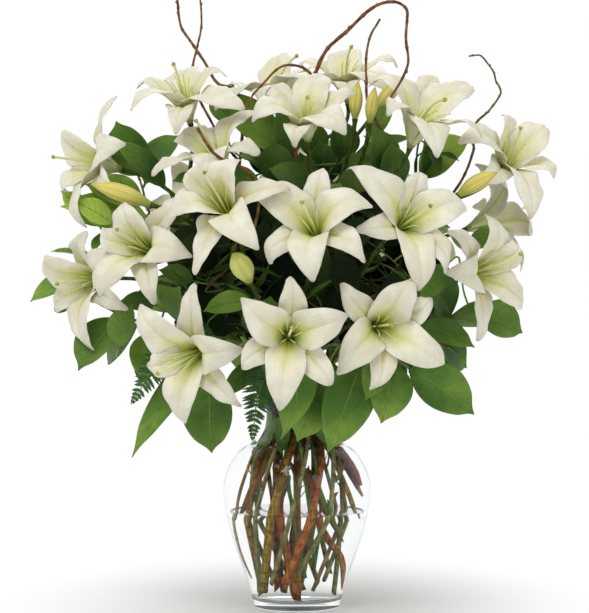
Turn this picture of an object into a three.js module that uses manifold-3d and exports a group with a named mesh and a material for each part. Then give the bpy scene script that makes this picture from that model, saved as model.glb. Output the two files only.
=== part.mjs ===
import * as THREE from 'three';
import { mergeVertices } from 'three/addons/utils/BufferGeometryUtils.js';
import Module from 'manifold-3d';

// White lilies with salal leaves, fern and curly willow in a clear glass urn vase.
// Millimetres, +Z up, the front towards -Y, the origin at the centre of the vase's foot.

const wasm = await Module();
wasm.setup();

// Vase: radius and height of each level of the glass, from the foot up.
const FOOT_RADIUS = 45;
const BELLY_RADIUS = 77;
const BELLY_HEIGHT = 116;
const NECK_RADIUS = 37.5;
const NECK_HEIGHT = 214;
const RIM_RADIUS = 53;
const VASE_HEIGHT = 252;
const GLASS = 4;
const FLOOR = 8;
const VASE_SIDES = 22;
const WALL_ROWS = 10;

// Water, and how the stems stand in it.
const WATER_HEIGHT = 100;
const FIT_GAP = 0.4;
const INNER_RING = 13;
const OUTER_RING = 26;
const THICK_STEM = 3;
const STEPS_A_POINT = 1.3;
// How far the bunch of stems is spread and turned at each height, against its size in the neck.
// The inner ring turns the other way, inside the outer one.
const FOOT_SPREAD = { scale: 1.36, turn: -76 };
const WATER_SPREAD = { scale: 1.98, turn: -36 };
const WAIST_SPREAD = { scale: 1.68, turn: -19, height: 156 };
const SHOULDER_SPREAD = { scale: 1.16, turn: -7, height: 184 };
const NECK_SPREAD = { scale: 1, turn: 0 };

// Tepals: a lily has three narrow outer and three broad inner ones.
const TEPAL_REACH = 79;
const TEPAL_HEIGHT = 43;
const OUTER_WIDTH = 28;
const INNER_WIDTH = 39;
const TEPAL_THICKNESS = 0.9;
// The funnel's rim, and the rows of each free lobe beyond it, as shares of a tepal's length.
const FUNNEL = 0.27;
const LOBE_ROWS = [0.53, 0.79];
const HIDDEN_ROWS = [0.62];
const NOTCH = 0.2;
// How far a measured tip may lie from an even star: its turn, its height along the axis, its spread off the axis
// and the share of the rest that it keeps. Its root follows the turn by a share.
const TIP_TURN = 16;
const LEAST_HEIGHT = 22;
const MOST_HEIGHT = 62;
const LEAST_SPREAD = 40;
const KEEP = 1;
const ROOT_SHARE = 0.5;
// Inner tepals lie before the outer ones.
const LAYER_GAP = 3;
const CUP_RADIUS = 2.6;
const CUP_DEPTH = 7;
const PISTIL_LENGTH = 78;
const STALK_RADIUS = 2.5;
const SEAT_GAP = 0.3;

// Leaves.
const LEAF_THICKNESS = 0.8;
const LEAF_ROWS = [0, 0.36, 0.7, 1];
const LANCE_ROWS = [0, 0.45, 1];
const LANCE_WIDTH = 12;
const FERN_TEETH = 7;
// A leaf that would touch something is swung about its root, further with each try.
const SWING_STEP = 7;
const SWINGS_A_TURN = 6;
const SWING_TRIES = 48;
const LEAF_CLEARANCE = 0.4;

// A leaf's face turns outwards from the crown's centre and towards the light.
const CROWN_CENTER = new THREE.Vector3(0, 0, 300);
const FRONT_LIGHT = new THREE.Vector3(0, -1, 0.5);
const BACK_LIGHT = new THREE.Vector3(0, 0.4, 0.4);
const BACK_FROM = 75;

const SLIVER = 0.15;

const radians = THREE.MathUtils.degToRad;
const sum = (values) => values.reduce((total, value) => total + value, 0);
const clamp = THREE.MathUtils.clamp;
const vector = (values) => new THREE.Vector3(values[0], values[1], values[2]);

// Every stem starts in the water, passes the neck at an angle and radius, and goes on through its crown points.
const LILY_STEMS = [
  { name: 'lily_stem_left', neck: [190, INNER_RING], foot: 14, radius: 4.3, lances: 3,
    crown: [[-30, -6, 262], [-70, -14, 335], [-108, -14, 412]] },
  { name: 'lily_stem_front_left', neck: [228, OUTER_RING], foot: 20, radius: 4, lances: 3,
    crown: [[-26, -29, 262], [-46, -56, 325], [-60, -62, 392]] },
  { name: 'lily_stem_front', neck: [276, OUTER_RING], foot: 17, radius: 4.6, lances: 3,
    crown: [[4, -38, 262], [5, -64, 325], [9, -74, 430]] },
  { name: 'lily_stem_front_right', neck: [324, OUTER_RING], foot: 26, radius: 4, lances: 3,
    crown: [[31, -23, 262], [55, -52, 325], [88, -46, 430]] },
  { name: 'lily_stem_right', neck: [12, INNER_RING], foot: 17, radius: 4.2, lances: 3,
    crown: [[34, 6, 262], [76, 4, 335], [128, 2, 405]] },
  { name: 'lily_stem_center', neck: [0, 0], foot: 13, radius: 4.2, lances: 2,
    crown: [[2, 4, 262], [5, 14, 340], [12, 30, 466]] },
  { name: 'lily_stem_back', neck: [100, INNER_RING], foot: 22, radius: 4.1, lances: 3,
    crown: [[-5, 38, 262], [-6, 76, 325], [0, 92, 392]] },
];

// Blooms: the receptacle's place and the way it faces. The tepals go round anticlockwise from an outer one, and
// their tips are either measured from the front, as an angle and a length from the receptacle, or evenly spread.
const BLOOMS = [
  { name: 'bloom_front_center', stem: 'lily_stem_front', at: 0.1, base: [-8, -172, 287], facing: [0, -1, 0],
    seen: [[82, 59], [152, 57], [206, 62], [263, 70], [313, 70], [18, 62]], stigma: [3, 8] },
  { name: 'bloom_front_left', stem: 'lily_stem_front_left', at: 0.1, base: [-92, -130, 272],
    facing: [-0.42, -0.87, -0.2],
    seen: [[94, 69], [144, 77], [196, 62], [255, 76], [309, 66], [14, 40]], stigma: [-41, -21] },
  { name: 'bloom_front_right', stem: 'lily_stem_front_right', at: 0.1, base: [76, -138, 295],
    facing: [0.2, -0.97, 0.05],
    seen: [[22, 68], [58, 60], [139, 57], [221, 58], [275, 68], [328, 80]], stigma: [13, 3] },
  { name: 'bloom_middle_center', stem: 'lily_stem_front', at: 0.4, base: [20, -150, 382],
    facing: [-0.18, -0.88, 0.42],
    seen: [[85, 74], [140, 78], [203, 63], [255, 46], [342, 55], [37, 66]], stigma: [-15, 31] },
  { name: 'bloom_middle_right', keep: 0.8, stem: 'lily_stem_front_right', at: 0.4, base: [99, -126, 391],
    facing: [0.37, -0.89, 0.26],
    seen: [[76, 64], [130, 77], [190, 43], [285, 68], [321, 68], [26, 73]], stigma: [28, 20] },
  { name: 'bloom_middle_left', stem: 'lily_stem_front_left', at: 0.6, base: [-65, -142, 401],
    facing: [-0.31, -0.78, 0.54],
    seen: [[-3, 50], [73, 54], [142, 40], [200, 50], [244, 63], [277, 44]], stigma: [-23, 41] },
  { name: 'bloom_left_front', stem: 'lily_stem_left', at: 0.4, base: [-144, -80, 368],
    facing: [-0.46, -0.83, 0.3],
    seen: [[51, 62], [109, 58], [165, 50], [223, 67], [281, 50], [355, 42]], stigma: [-32, 22] },
  { name: 'bloom_left_low', stem: 'lily_stem_left', at: 0.05, base: [-196, -20, 344],
    facing: [-0.72, -0.66, -0.05],
    seen: [[101, 36], [180, 42], [229, 68], [272, 66], [335, 30], [45, 32]], stigma: [-46, -6] },
  { name: 'bloom_left_high', stem: 'lily_stem_left', at: 0.8, base: [-186, 16, 460],
    facing: [-0.92, -0.3, 0.2],
    seen: [[90, 63], [140, 48], [196, 40], [242, 62], [310, 26], [40, 26]], stigma: [-66, 10] },
  { name: 'bloom_top_left', stem: 'lily_stem_left', at: 1, base: [-111, -20, 506], facing: [-0.2, -0.4, 0.9],
    seen: [[52, 67], [94, 56], [152, 66], [172, 62], [250, 18], [350, 34]], stigma: [-14, 54] },
  { name: 'bloom_upper_left', keep: 0.8, stem: 'lily_stem_front_left', at: 1, base: [-76, -62, 447],
    facing: [-0.3, -0.34, 0.88],
    seen: [[28, 42], [62, 76], [97, 56], [124, 58], [180, 70], [275, 18]], stigma: [-24, 52] },
  { name: 'bloom_upper_center', keep: 0.4, stem: 'lily_stem_front', at: 1, base: [11, -82, 482], facing: [-0.1, -0.6, 0.8],
    seen: [[36, 44], [74, 63], [124, 52], [162, 61], [262, 20], [318, 26]], stigma: [-1, 37] },
  { name: 'bloom_top_center', stem: 'lily_stem_center', at: 0.85, base: [-18, 40, 517],
    facing: [-0.2, 0, 0.95],
    seen: [[62, 58], [101, 68], [137, 56], [188, 46], [236, 28], [350, 40]], stigma: [17, 60] },
  { name: 'bloom_top_back', stem: 'lily_stem_center', at: 1, base: [56, 98, 538], facing: [-0.1, -0.25, 0.95],
    seen: [[42, 50], [92, 58], [137, 72], [190, 44], [290, 22], [350, 42]], stigma: [2, 54] },
  { name: 'bloom_upper_right', stem: 'lily_stem_front_right', at: 1, base: [116, -46, 478],
    facing: [0.3, -0.35, 0.88], size: 1.12,
    seen: [[8, 74], [52, 88], [72, 84], [96, 74], [130, 44], [310, 22]], stigma: [30, 42] },
  { name: 'bloom_right_high', stem: 'lily_stem_right', at: 1, base: [206, 6, 451],
    facing: [0.5, -0.5, 0.62],
    seen: [[347, 46], [47, 48], [80, 46], [150, 38], [230, 22], [300, 50]], stigma: [23, 46] },
  { name: 'bloom_right_back', stem: 'lily_stem_right', at: 0.6, base: [182, 50, 398],
    facing: [0.86, 0.24, 0.32], turn: 15 },
  { name: 'bloom_right_low', stem: 'lily_stem_right', at: 0.15, base: [166, -56, 348],
    facing: [0.72, -0.66, 0.1],
    seen: [[108, 48], [205, 20], [272, 60], [325, 76], [12, 46], [64, 70]], stigma: [56, 19] },
  { name: 'bloom_back_left', stem: 'lily_stem_back', at: 0.6, base: [-96, 146, 410],
    facing: [-0.45, 0.82, 0.3], turn: 10 },
  { name: 'bloom_back_center', stem: 'lily_stem_back', at: 1, base: [8, 160, 440], facing: [0.05, 0.86, 0.5],
    turn: 0 },
  { name: 'bloom_back_right', stem: 'lily_stem_back', at: 0.4, base: [106, 138, 385],
    facing: [0.5, 0.83, 0.2], turn: 25 },
  { name: 'bloom_back_low', stem: 'lily_stem_back', at: 0.05, base: [-22, 172, 310],
    facing: [-0.1, 0.98, 0.1], turn: 40 },
];

// Closed buds, each on its own stalk: the base, the tip and the greatest radius.
const BUDS = [
  { name: 'bud_left', stem: 'lily_stem_left', at: 0.7, base: [-148, -86, 418], tip: [-207, -96, 438], radius: 8 },
  { name: 'bud_front', stem: 'lily_stem_front_left', at: 0.15, base: [-47, -140, 340], tip: [-62, -174, 366],
    radius: 8 },
  { name: 'bud_right', stem: 'lily_stem_right', at: 0.8, base: [162, -100, 427], tip: [200, -108, 449],
    radius: 7.5 },
  { name: 'bud_top_left', stem: 'lily_stem_center', at: 0.5, base: [60, -34, 509], tip: [63, -40, 547],
    radius: 6.5 },
  { name: 'bud_top_middle', stem: 'lily_stem_center', at: 0.3, base: [75, -44, 504], tip: [80, -52, 540],
    radius: 6 },
  { name: 'bud_top_right', stem: 'lily_stem_center', at: 0.65, base: [84, 22, 522], tip: [113, 28, 558],
    radius: 7.5 },
];

// Salal sprays: a woody stem and its broad leaves, each as where its stalk starts, its tip and its width.
const SALAL_SPRAYS = [
  { name: 'salal_left_low', neck: [204, OUTER_RING], foot: 30, radius: 2.6,
    crown: [[-44, -16, 266], [-104, -30, 290], [-165, -34, 300], [-222, -22, 326]],
    leaves: [[1, [-282, -14, 322], 40], [0.76, [-230, -48, 250], 46], [0.52, [-172, -78, 238], 44],
      [0.4, [-126, -86, 330], 52], [0.2, [-168, -92, 164], 30], [0.64, [-200, 34, 258], 46]] },
  { name: 'salal_left_high', neck: [180, OUTER_RING], foot: 36, radius: 2.4,
    crown: [[-42, 2, 266], [-98, 16, 335], [-150, 30, 400], [-168, 42, 450]],
    leaves: [[1, [-192, 34, 512], 46], [0.8, [-226, 34, 446], 40], [0.64, [-252, 30, 436], 44],
      [0.48, [-212, 54, 376], 46], [0.94, [-122, 30, 498], 50], [0.24, [-180, 70, 330], 46]] },
  { name: 'salal_top', neck: [132, OUTER_RING], foot: 24, radius: 2.5,
    crown: [[-30, 32, 266], [-28, 50, 340], [-22, 54, 420], [-14, 52, 470]],
    leaves: [[1, [-90, 40, 556], 50], [0.84, [44, -6, 508], 46], [0.72, [-60, -6, 476], 50],
      [0.56, [40, -22, 440], 48], [0.44, [-84, 10, 430], 46], [0.2, [46, 6, 352], 48]] },
  { name: 'salal_top_right', neck: [36, OUTER_RING], foot: 33, radius: 2.4,
    crown: [[34, 28, 266], [80, 44, 335], [112, 46, 400], [128, 46, 450]],
    leaves: [[1, [186, 30, 492], 46], [0.84, [66, -14, 490], 50], [0.68, [204, 44, 402], 46],
      [0.52, [62, -10, 392], 50], [0.4, [164, 90, 380], 46], [0.8, [116, 112, 470], 46], [0.92, [132, 0, 505], 40]] },
  { name: 'salal_right', neck: [348, OUTER_RING], foot: 40, radius: 2.6,
    crown: [[46, -8, 266], [100, -26, 288], [146, -32, 300], [182, -22, 308]],
    leaves: [[1, [236, -18, 288], 44], [0.72, [190, -70, 292], 52], [0.8, [132, -66, 356], 48],
      [0.52, [176, 24, 250], 46], [0.36, [150, 40, 340], 46], [0.28, [96, -40, 352], 46]] },
  { name: 'salal_front_left', neck: [252, OUTER_RING], foot: 18, radius: 2.5,
    crown: [[-15, -45, 268], [-38, -76, 282], [-62, -100, 272], [-86, -108, 246]],
    leaves: [[1, [-86, -114, 168], 50], [0.48, [-20, -98, 178], 48], [0.6, [-98, -112, 316], 44],
      [0.28, [-44, -84, 356], 48]] },
  { name: 'salal_front_right', neck: [300, OUTER_RING], foot: 28, radius: 2.5,
    crown: [[24, -40, 268], [48, -74, 276], [84, -90, 270], [108, -86, 256]],
    leaves: [[1, [178, -86, 206], 48], [0.52, [30, -104, 170], 50], [0.84, [84, -108, 198], 44],
      [0.68, [68, -122, 222], 30], [0.32, [44, -96, 350], 48]] },
  { name: 'salal_back_left', neck: [108, OUTER_RING], foot: 38, radius: 2.5,
    crown: [[-14, 46, 266], [-46, 88, 300], [-86, 112, 330]],
    leaves: [[1, [-150, 130, 350], 48], [0.68, [-130, 120, 260], 46], [0.52, [-60, 160, 236], 46],
      [0.36, [-100, 70, 400], 48], [0.8, [-60, 130, 400], 46]] },
  { name: 'salal_back_right', neck: [72, OUTER_RING], foot: 16, radius: 2.5,
    crown: [[14, 46, 266], [52, 86, 296], [96, 106, 310]],
    leaves: [[1, [164, 128, 310], 48], [0.68, [120, 120, 236], 46], [0.52, [40, 164, 250], 46],
      [0.36, [60, 130, 370], 46], [0.84, [130, 84, 380], 46]] },
];

// Curly willow: the crown points follow the twig's curls. A branch leaves the twig at its first point.
const WILLOW_TWIGS = [
  { name: 'willow_left', neck: [156, OUTER_RING], foot: 16, radius: 2.6,
    crown: [[-40, 20, 266], [-62, 44, 350], [-66, 66, 430], [-58, 58, 500], [-64, 40, 544], [-84, 36, 554],
      [-96, 38, 571], [-112, 40, 597], [-124, 42, 617], [-128, 42, 643], [-124, 44, 668], [-118, 44, 690]],
    branches: [[[-61, 62, 470], [-84, 66, 500], [-106, 64, 540], [-113, 60, 568], [-107, 58, 597], [-102, 56, 622],
      [-105, 56, 650], [-112, 56, 678]]] },
  { name: 'willow_center', neck: [146, INNER_RING], foot: 19, radius: 2.8,
    crown: [[-16, 14, 262], [-16, 0, 340], [-2, -14, 420], [-2, -32, 500], [8, -36, 535], [20, -36, 556],
      [33, -34, 584], [54, -30, 602], [73, -26, 621], [89, -24, 630], [106, -26, 630], [115, -28, 620],
      [112, -38, 592], [113, -54, 564], [102, -66, 538], [95, -70, 526]],
    branches: [[[8, -36, 535], [16, -42, 552], [3, -46, 562], [-20, -48, 559], [-41, -50, 537], [-52, -52, 520]]] },
  { name: 'willow_right', neck: [56, INNER_RING], foot: 15, radius: 2.6,
    crown: [[20, 20, 262], [50, 22, 340], [82, 4, 400], [104, -12, 440], [108, -18, 462], [99, -24, 482],
      [84, -30, 502], [74, -34, 525], [71, -34, 552], [73, -32, 580], [78, -30, 600], [86, -30, 613]],
    branches: [] },
  { name: 'willow_far_right', neck: [12, OUTER_RING], foot: 21, radius: 2.4,
    crown: [[42, 10, 266], [92, 30, 340], [146, 30, 410], [174, 18, 450], [186, 14, 480], [183, 10, 497],
      [192, 8, 513], [204, 8, 523], [214, 8, 541], [210, 8, 555], [205, 8, 567], [194, 8, 579], [181, 8, 579]],
    branches: [] },
];

// Fern fronds: the rib is the end of the crown from the given share on, with its leaflets along it.
const FERNS = [
  { name: 'fern_front', neck: [264, INNER_RING], foot: 44, radius: 1.8, width: 40, from: 0.42,
    crown: [[-3, -28, 264], [-4, -54, 267], [-20, -84, 258], [-38, -100, 230], [-45, -104, 180]] },
  { name: 'fern_left', neck: [222, INNER_RING], foot: 34, radius: 1.8, width: 46, from: 0.45,
    crown: [[-21, -18, 264], [-42, -36, 273], [-92, -66, 284], [-136, -78, 262], [-168, -82, 216]] },
  { name: 'fern_right', neck: [310, INNER_RING], foot: 42, radius: 1.8, width: 46, from: 0.45,
    crown: [[17, -22, 264], [37, -42, 272], [86, -54, 270], [132, -60, 252], [172, -54, 218]] },
];

const COLOURS = {
  vase: { color: 0xe6eeee, roughness: 0.05, metalness: 0, transparent: true, opacity: 0.35 },
  water: { color: 0xdde9ea, roughness: 0.05, metalness: 0, transparent: true, opacity: 0.5 },
  lilyStem: { color: 0x6f7f3c, roughness: 0.6, metalness: 0 },
  bloom: { color: 0xf4f1e4, roughness: 0.55, metalness: 0 },
  bud: { color: 0xb9c46a, roughness: 0.5, metalness: 0 },
  salal: { color: 0x3f7a34, roughness: 0.4, metalness: 0 },
  willow: { color: 0x6b4024, roughness: 0.75, metalness: 0 },
  fern: { color: 0x234f26, roughness: 0.6, metalness: 0 },
};

const group = new THREE.Group();
const placed = [];

function toSolid(geometry) {
  const bare = geometry.clone();
  bare.deleteAttribute('normal');
  bare.deleteAttribute('uv');
  const merged = mergeVertices(bare, 1e-5);
  return new wasm.Manifold(new wasm.Mesh({
    numProp: 3,
    vertProperties: new Float32Array(merged.attributes.position.array),
    triVerts: new Uint32Array(merged.index.array),
  }));
}

// The outer skin of the largest body: it drops loose scraps and fills sealed pockets, and slivers are merged.
function oneBody(solid) {
  const bodies = solid.decompose();
  bodies.sort((a, b) => b.volume() - a.volume());
  return bodies[0].simplify(SLIVER);
}

function addNode(name, solid, colour) {
  const skin = solid.getMesh();
  const geometry = new THREE.BufferGeometry();
  geometry.setAttribute('position', new THREE.BufferAttribute(new Float32Array(skin.vertProperties), 3));
  geometry.setIndex(new THREE.BufferAttribute(new Uint32Array(skin.triVerts), 1));
  geometry.computeVertexNormals();
  const mesh = new THREE.Mesh(geometry, new THREE.MeshStandardMaterial(colour));
  mesh.name = name;
  group.add(mesh);
  placed.push({ owner: name, solid });
}

// A vector across the given direction, as close to the wanted one as it can be.
function across(direction, wanted) {
  return wanted.clone().addScaledVector(direction, -wanted.dot(direction)).normalize();
}

// A closed round bar bent along a list of points, each with its own radius.
function bar(points, radii, sides) {
  const geometry = new THREE.CylinderGeometry(1, 1, 1, sides, points.length - 1);
  const tangents = points.map((point, i) => {
    const next = points[Math.min(i + 1, points.length - 1)];
    const last = points[Math.max(i - 1, 0)];
    return next.clone().sub(last).normalize();
  });
  const normals = [across(tangents[0], new THREE.Vector3(0.6, 0.64, 0.48))];
  for (let i = 1; i < points.length; i += 1) normals.push(across(tangents[i], normals[i - 1]));
  const position = geometry.attributes.position;
  for (let k = 0; k < position.count; k += 1) {
    const i = Math.round((position.getY(k) + 0.5) * (points.length - 1));
    const side = tangents[i].clone().cross(normals[i]);
    const place = points[i].clone()
      .addScaledVector(normals[i], -position.getX(k) * radii[i])
      .addScaledVector(side, position.getZ(k) * radii[i]);
    position.setXYZ(k, place.x, place.y, place.z);
  }
  return toSolid(geometry);
}

// A thin closed blade over a grid: surface(u, v) gives the middle point and the upward normal,
// with u from root to tip and v from -1 to 1. Both faces are split into triangles alike, and the tip is one point.
function blade(rows, columns, thickness, surface) {
  const positions = [];
  const layers = [1, -1].map((face) => rows.map((u, row) => {
    const ids = [];
    const count = row === rows.length - 1 ? 1 : columns + 1;
    for (let column = 0; column < count; column += 1) {
      const v = count === 1 ? 0 : -1 + (2 * column) / columns;
      const { point, normal } = surface(u, v);
      const place = point.clone().addScaledVector(normal, (face * thickness) / 2);
      ids.push(positions.length / 3);
      positions.push(place.x, place.y, place.z);
    }
    while (ids.length <= columns) ids.push(ids[0]);
    return ids;
  }));
  const index = [];
  const triangle = (a, b, c) => {
    if (a !== b && b !== c && c !== a) index.push(a, b, c);
  };
  const quad = (a, b, c, d) => {
    triangle(a, b, c);
    triangle(a, c, d);
  };
  const [top, under] = layers;
  const last = rows.length - 1;
  for (let row = 0; row < last; row += 1) {
    for (let column = 0; column < columns; column += 1) {
      const [a, b, c, d] = [[row, column], [row, column + 1], [row + 1, column + 1], [row + 1, column]];
      quad(top[a[0]][a[1]], top[b[0]][b[1]], top[c[0]][c[1]], top[d[0]][d[1]]);
      triangle(under[a[0]][a[1]], under[c[0]][c[1]], under[b[0]][b[1]]);
      triangle(under[a[0]][a[1]], under[d[0]][d[1]], under[c[0]][c[1]]);
    }
    quad(top[row][0], top[row + 1][0], under[row + 1][0], under[row][0]);
    quad(under[row][columns], under[row + 1][columns], top[row + 1][columns], top[row][columns]);
  }
  for (let column = 0; column < columns; column += 1) {
    quad(under[0][column], under[0][column + 1], top[0][column + 1], top[0][column]);
  }
  const geometry = new THREE.BufferGeometry();
  geometry.setAttribute('position', new THREE.BufferAttribute(new Float32Array(positions), 3));
  geometry.setIndex(index);
  return toSolid(geometry);
}

// Vase: one turned piece of glass. The inside runs parallel to the outside down to a thick floor.
function glassCurve(inset) {
  const levels = [
    [FOOT_RADIUS + 2.5, 12], [FOOT_RADIUS + 8, 31], [68.6, 75], [BELLY_RADIUS, BELLY_HEIGHT], [74, 141],
    [61, 163], [46, 174], [NECK_RADIUS + 1, 190], [NECK_RADIUS, NECK_HEIGHT], [43, 236], [RIM_RADIUS, VASE_HEIGHT],
  ];
  return new THREE.SplineCurve(levels.map(([radius, height]) => new THREE.Vector2(radius - inset, height)));
}

function turned(profile) {
  return new THREE.LatheGeometry(profile, VASE_SIDES).rotateX(Math.PI / 2);
}

function vase() {
  const outside = glassCurve(0).getPoints(WALL_ROWS);
  const inside = glassCurve(GLASS).getPoints(WALL_ROWS).reverse();
  return toSolid(turned([
    new THREE.Vector2(0, 0),
    new THREE.Vector2(FOOT_RADIUS, 0),
    ...outside,
    ...inside,
    new THREE.Vector2(FOOT_RADIUS - GLASS - 6, FLOOR),
    new THREE.Vector2(0, FLOOR),
  ]));
}

// Water: fills the glass up to its level, with a plain hole round every stem that stands in it.
function water(stems) {
  const wall = glassCurve(GLASS + FIT_GAP).getPoints(WALL_ROWS);
  const below = wall.filter((point) => point.y < WATER_HEIGHT);
  const above = wall.find((point) => point.y >= WATER_HEIGHT);
  const edge = below[below.length - 1].clone();
  edge.lerp(above, (WATER_HEIGHT - edge.y) / (above.y - edge.y));
  const body = toSolid(turned([
    new THREE.Vector2(0, FLOOR + FIT_GAP),
    new THREE.Vector2(FOOT_RADIUS - GLASS - 6.5, FLOOR + FIT_GAP),
    ...below,
    edge,
    new THREE.Vector2(0, WATER_HEIGHT),
  ]));
  const holes = stems.map((stem) => {
    const [foot, surface] = stemPoints(stem);
    const way = surface.clone().sub(foot).normalize();
    const start = foot.clone().addScaledVector(way, -FIT_GAP);
    const end = surface.clone().addScaledVector(way, 2);
    return bar([start, end], [stem.radius + FIT_GAP * 1.2, stem.radius + FIT_GAP * 1.2], sidesOf(stem));
  });
  return oneBody(body.subtract(wasm.Manifold.union(holes)));
}

// Each ring of the bunch is one pattern, scaled and turned from level to level, so no two stems cross.
function inBunch(stem, spread, height) {
  const [angle, radius] = stem.neck;
  const turn = radians(angle + (radius > INNER_RING ? spread.turn : -spread.turn));
  return new THREE.Vector3(radius * spread.scale * Math.cos(turn), radius * spread.scale * Math.sin(turn), height);
}

function stemCurve(stem) {
  return new THREE.CatmullRomCurve3([
    inBunch(stem, WATER_SPREAD, WATER_HEIGHT + 3),
    inBunch(stem, WAIST_SPREAD, WAIST_SPREAD.height),
    inBunch(stem, SHOULDER_SPREAD, SHOULDER_SPREAD.height),
    inBunch(stem, NECK_SPREAD, NECK_HEIGHT),
    ...stem.crown.map(vector),
  ], false, 'catmullrom');
}

// A point of the crown, from its first point at 0 to its end at 1, as a parameter of the whole curve.
function onCrown(stem, at) {
  return (4 + at * (stem.crown.length - 1)) / (stem.crown.length + 3);
}

// The cut end under water, then the points of the curve above it.
function stemPoints(stem) {
  const foot = inBunch(stem, FOOT_SPREAD, stem.foot);
  return [foot, ...stemCurve(stem).getPoints(Math.round(STEPS_A_POINT * (stem.crown.length + 3)))];
}

function sidesOf(stem) {
  return stem.radius > THICK_STEM ? 5 : 4;
}

function stemBar(stem, share = 1) {
  const whole = stemPoints(stem);
  const points = whole.slice(0, Math.ceil(onCrown(stem, share) * whole.length) + 1);
  const radii = points.map((point, i) => stem.radius * (1 - 0.5 * Math.max(0, (i - 1) / (points.length - 1))));
  return bar(points, radii, sidesOf(stem));
}

// A stalk leaves its stem at a point of the curve and arrives at a base along the way that base faces.
function stalk(stem, at, base, facing) {
  const start = stemCurve(stem).getPoint(onCrown(stem, at));
  const leaving = stemCurve(stem).getTangent(onCrown(stem, at));
  const gap = base.distanceTo(start);
  const end = base.clone().addScaledVector(facing, -SEAT_GAP);
  const curve = new THREE.CubicBezierCurve3(
    start,
    start.clone().addScaledVector(leaving, 0.35 * gap),
    end.clone().addScaledVector(facing, -0.4 * gap),
    end.clone().addScaledVector(facing, -4),
  );
  const points = [...curve.getPoints(2), end];
  return bar(points, points.map((point, i) => STALK_RADIUS * (i === 3 ? 1.25 : 1)), 4);
}

// Where a point seen from the front at an offset from the base lies in depth: the place where it is
// nearest to its natural distance from the base and its natural height along the facing.
function inDepth(base, facing, right, up, reach, height) {
  let best = null;
  let least = Infinity;
  for (let depth = -85; depth <= 85; depth += 1) {
    const offset = new THREE.Vector3(right, depth, up);
    const miss = (offset.length() - reach) ** 2 + (offset.dot(facing) - height) ** 2;
    if (miss < least) {
      least = miss;
      best = offset;
    }
  }
  return best.add(base);
}

// Six tepals, rooted nearly evenly round the axis, each a little towards its own tip.
function tepalsOf(bloom) {
  const base = vector(bloom.base);
  const facing = vector(bloom.facing).normalize();
  const size = bloom.size ?? 1;
  const up = across(facing, new THREE.Vector3(0, 0, 1));
  const right = up.clone().cross(facing);
  const around = (turn) => right.clone().multiplyScalar(Math.cos(turn)).addScaledVector(up, Math.sin(turn));
  const spread = size * Math.sqrt(TEPAL_REACH ** 2 - TEPAL_HEIGHT ** 2);
  const tips = [0, 1, 2, 3, 4, 5].map((i) => {
    if (!bloom.seen) {
      return base.clone()
        .addScaledVector(around(radians(bloom.turn + 60 * i)), spread)
        .addScaledVector(facing, size * TEPAL_HEIGHT);
    }
    const [angle, length] = bloom.seen[i];
    const [x, z] = [length * Math.cos(radians(angle)), length * Math.sin(radians(angle))];
    return inDepth(base, facing, x, z, size * TEPAL_REACH, size * TEPAL_HEIGHT);
  });
  const keep = bloom.keep ?? KEEP;
  const heights = tips.map((tip) => clamp(tip.clone().sub(base).dot(facing), LEAST_HEIGHT * size, MOST_HEIGHT * size));
  const spreads = tips.map((tip, i) => Math.sqrt(Math.max((size * LEAST_SPREAD) ** 2,
    tip.distanceToSquared(base) - heights[i] ** 2)));
  const turns = tips.map((tip, i) => {
    const reach = tip.clone().sub(base);
    return Math.atan2(reach.dot(up), reach.dot(right)) - (i * Math.PI) / 3;
  });
  const mean = Math.atan2(sum(turns.map(Math.sin)), sum(turns.map(Math.cos)));
  return tips.map((tip, i) => {
    const off = Math.atan2(Math.sin(turns[i] - mean), Math.cos(turns[i] - mean));
    const kept = keep * clamp(off, -radians(TIP_TURN), radians(TIP_TURN));
    const even = mean + (i * Math.PI) / 3;
    const end = base.clone()
      .addScaledVector(facing, THREE.MathUtils.lerp(sum(heights) / 6, heights[i], keep))
      .addScaledVector(around(even + kept), THREE.MathUtils.lerp(sum(spreads) / 6, spreads[i], keep));
    return tepal(base, facing, size, around(even + ROOT_SHARE * kept), end, i % 2 === 1);
  });
}

// A tepal rises along the bloom's axis, arches outwards and curls back to its tip. It is a trough at
// its root and its edges roll back further out.
function tepal(base, facing, size, root, tip, inner) {
  const out = across(facing, tip.clone().sub(base));
  const start = base.clone().addScaledVector(facing, 4 * size).addScaledVector(root, (inner ? 3 : 3.8) * size);
  const curve = new THREE.CubicBezierCurve3(
    start,
    start.clone().addScaledVector(facing, (inner ? 36 : 31) * size).addScaledVector(root, (inner ? 7 : 13) * size),
    tip.clone().addScaledVector(out, -22 * size).addScaledVector(facing, 20 * size),
    tip,
  );
  const half = ((inner ? INNER_WIDTH : OUTER_WIDTH) / 2) * size;
  return (u, v) => {
    const side = root.clone().lerp(out, Math.min(1, 1.5 * u)).cross(facing).normalize();
    const normal = side.clone().cross(curve.getTangent(u)).normalize();
    const width = Math.max(0.9, half * Math.sin(Math.PI * (0.05 + 0.95 * u) ** 1.35));
    const roll = THREE.MathUtils.lerp(0.42, -0.24, Math.min(1, Math.max(0, 1.9 * u - 0.5)));
    const layer = (inner ? LAYER_GAP : -LAYER_GAP) * THREE.MathUtils.smoothstep(u, FUNNEL, 0.5);
    const point = curve.getPoint(u)
      .addScaledVector(side, width * v)
      .addScaledVector(normal, roll * width * v * v + layer);
    return { point, normal };
  };
}

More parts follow.
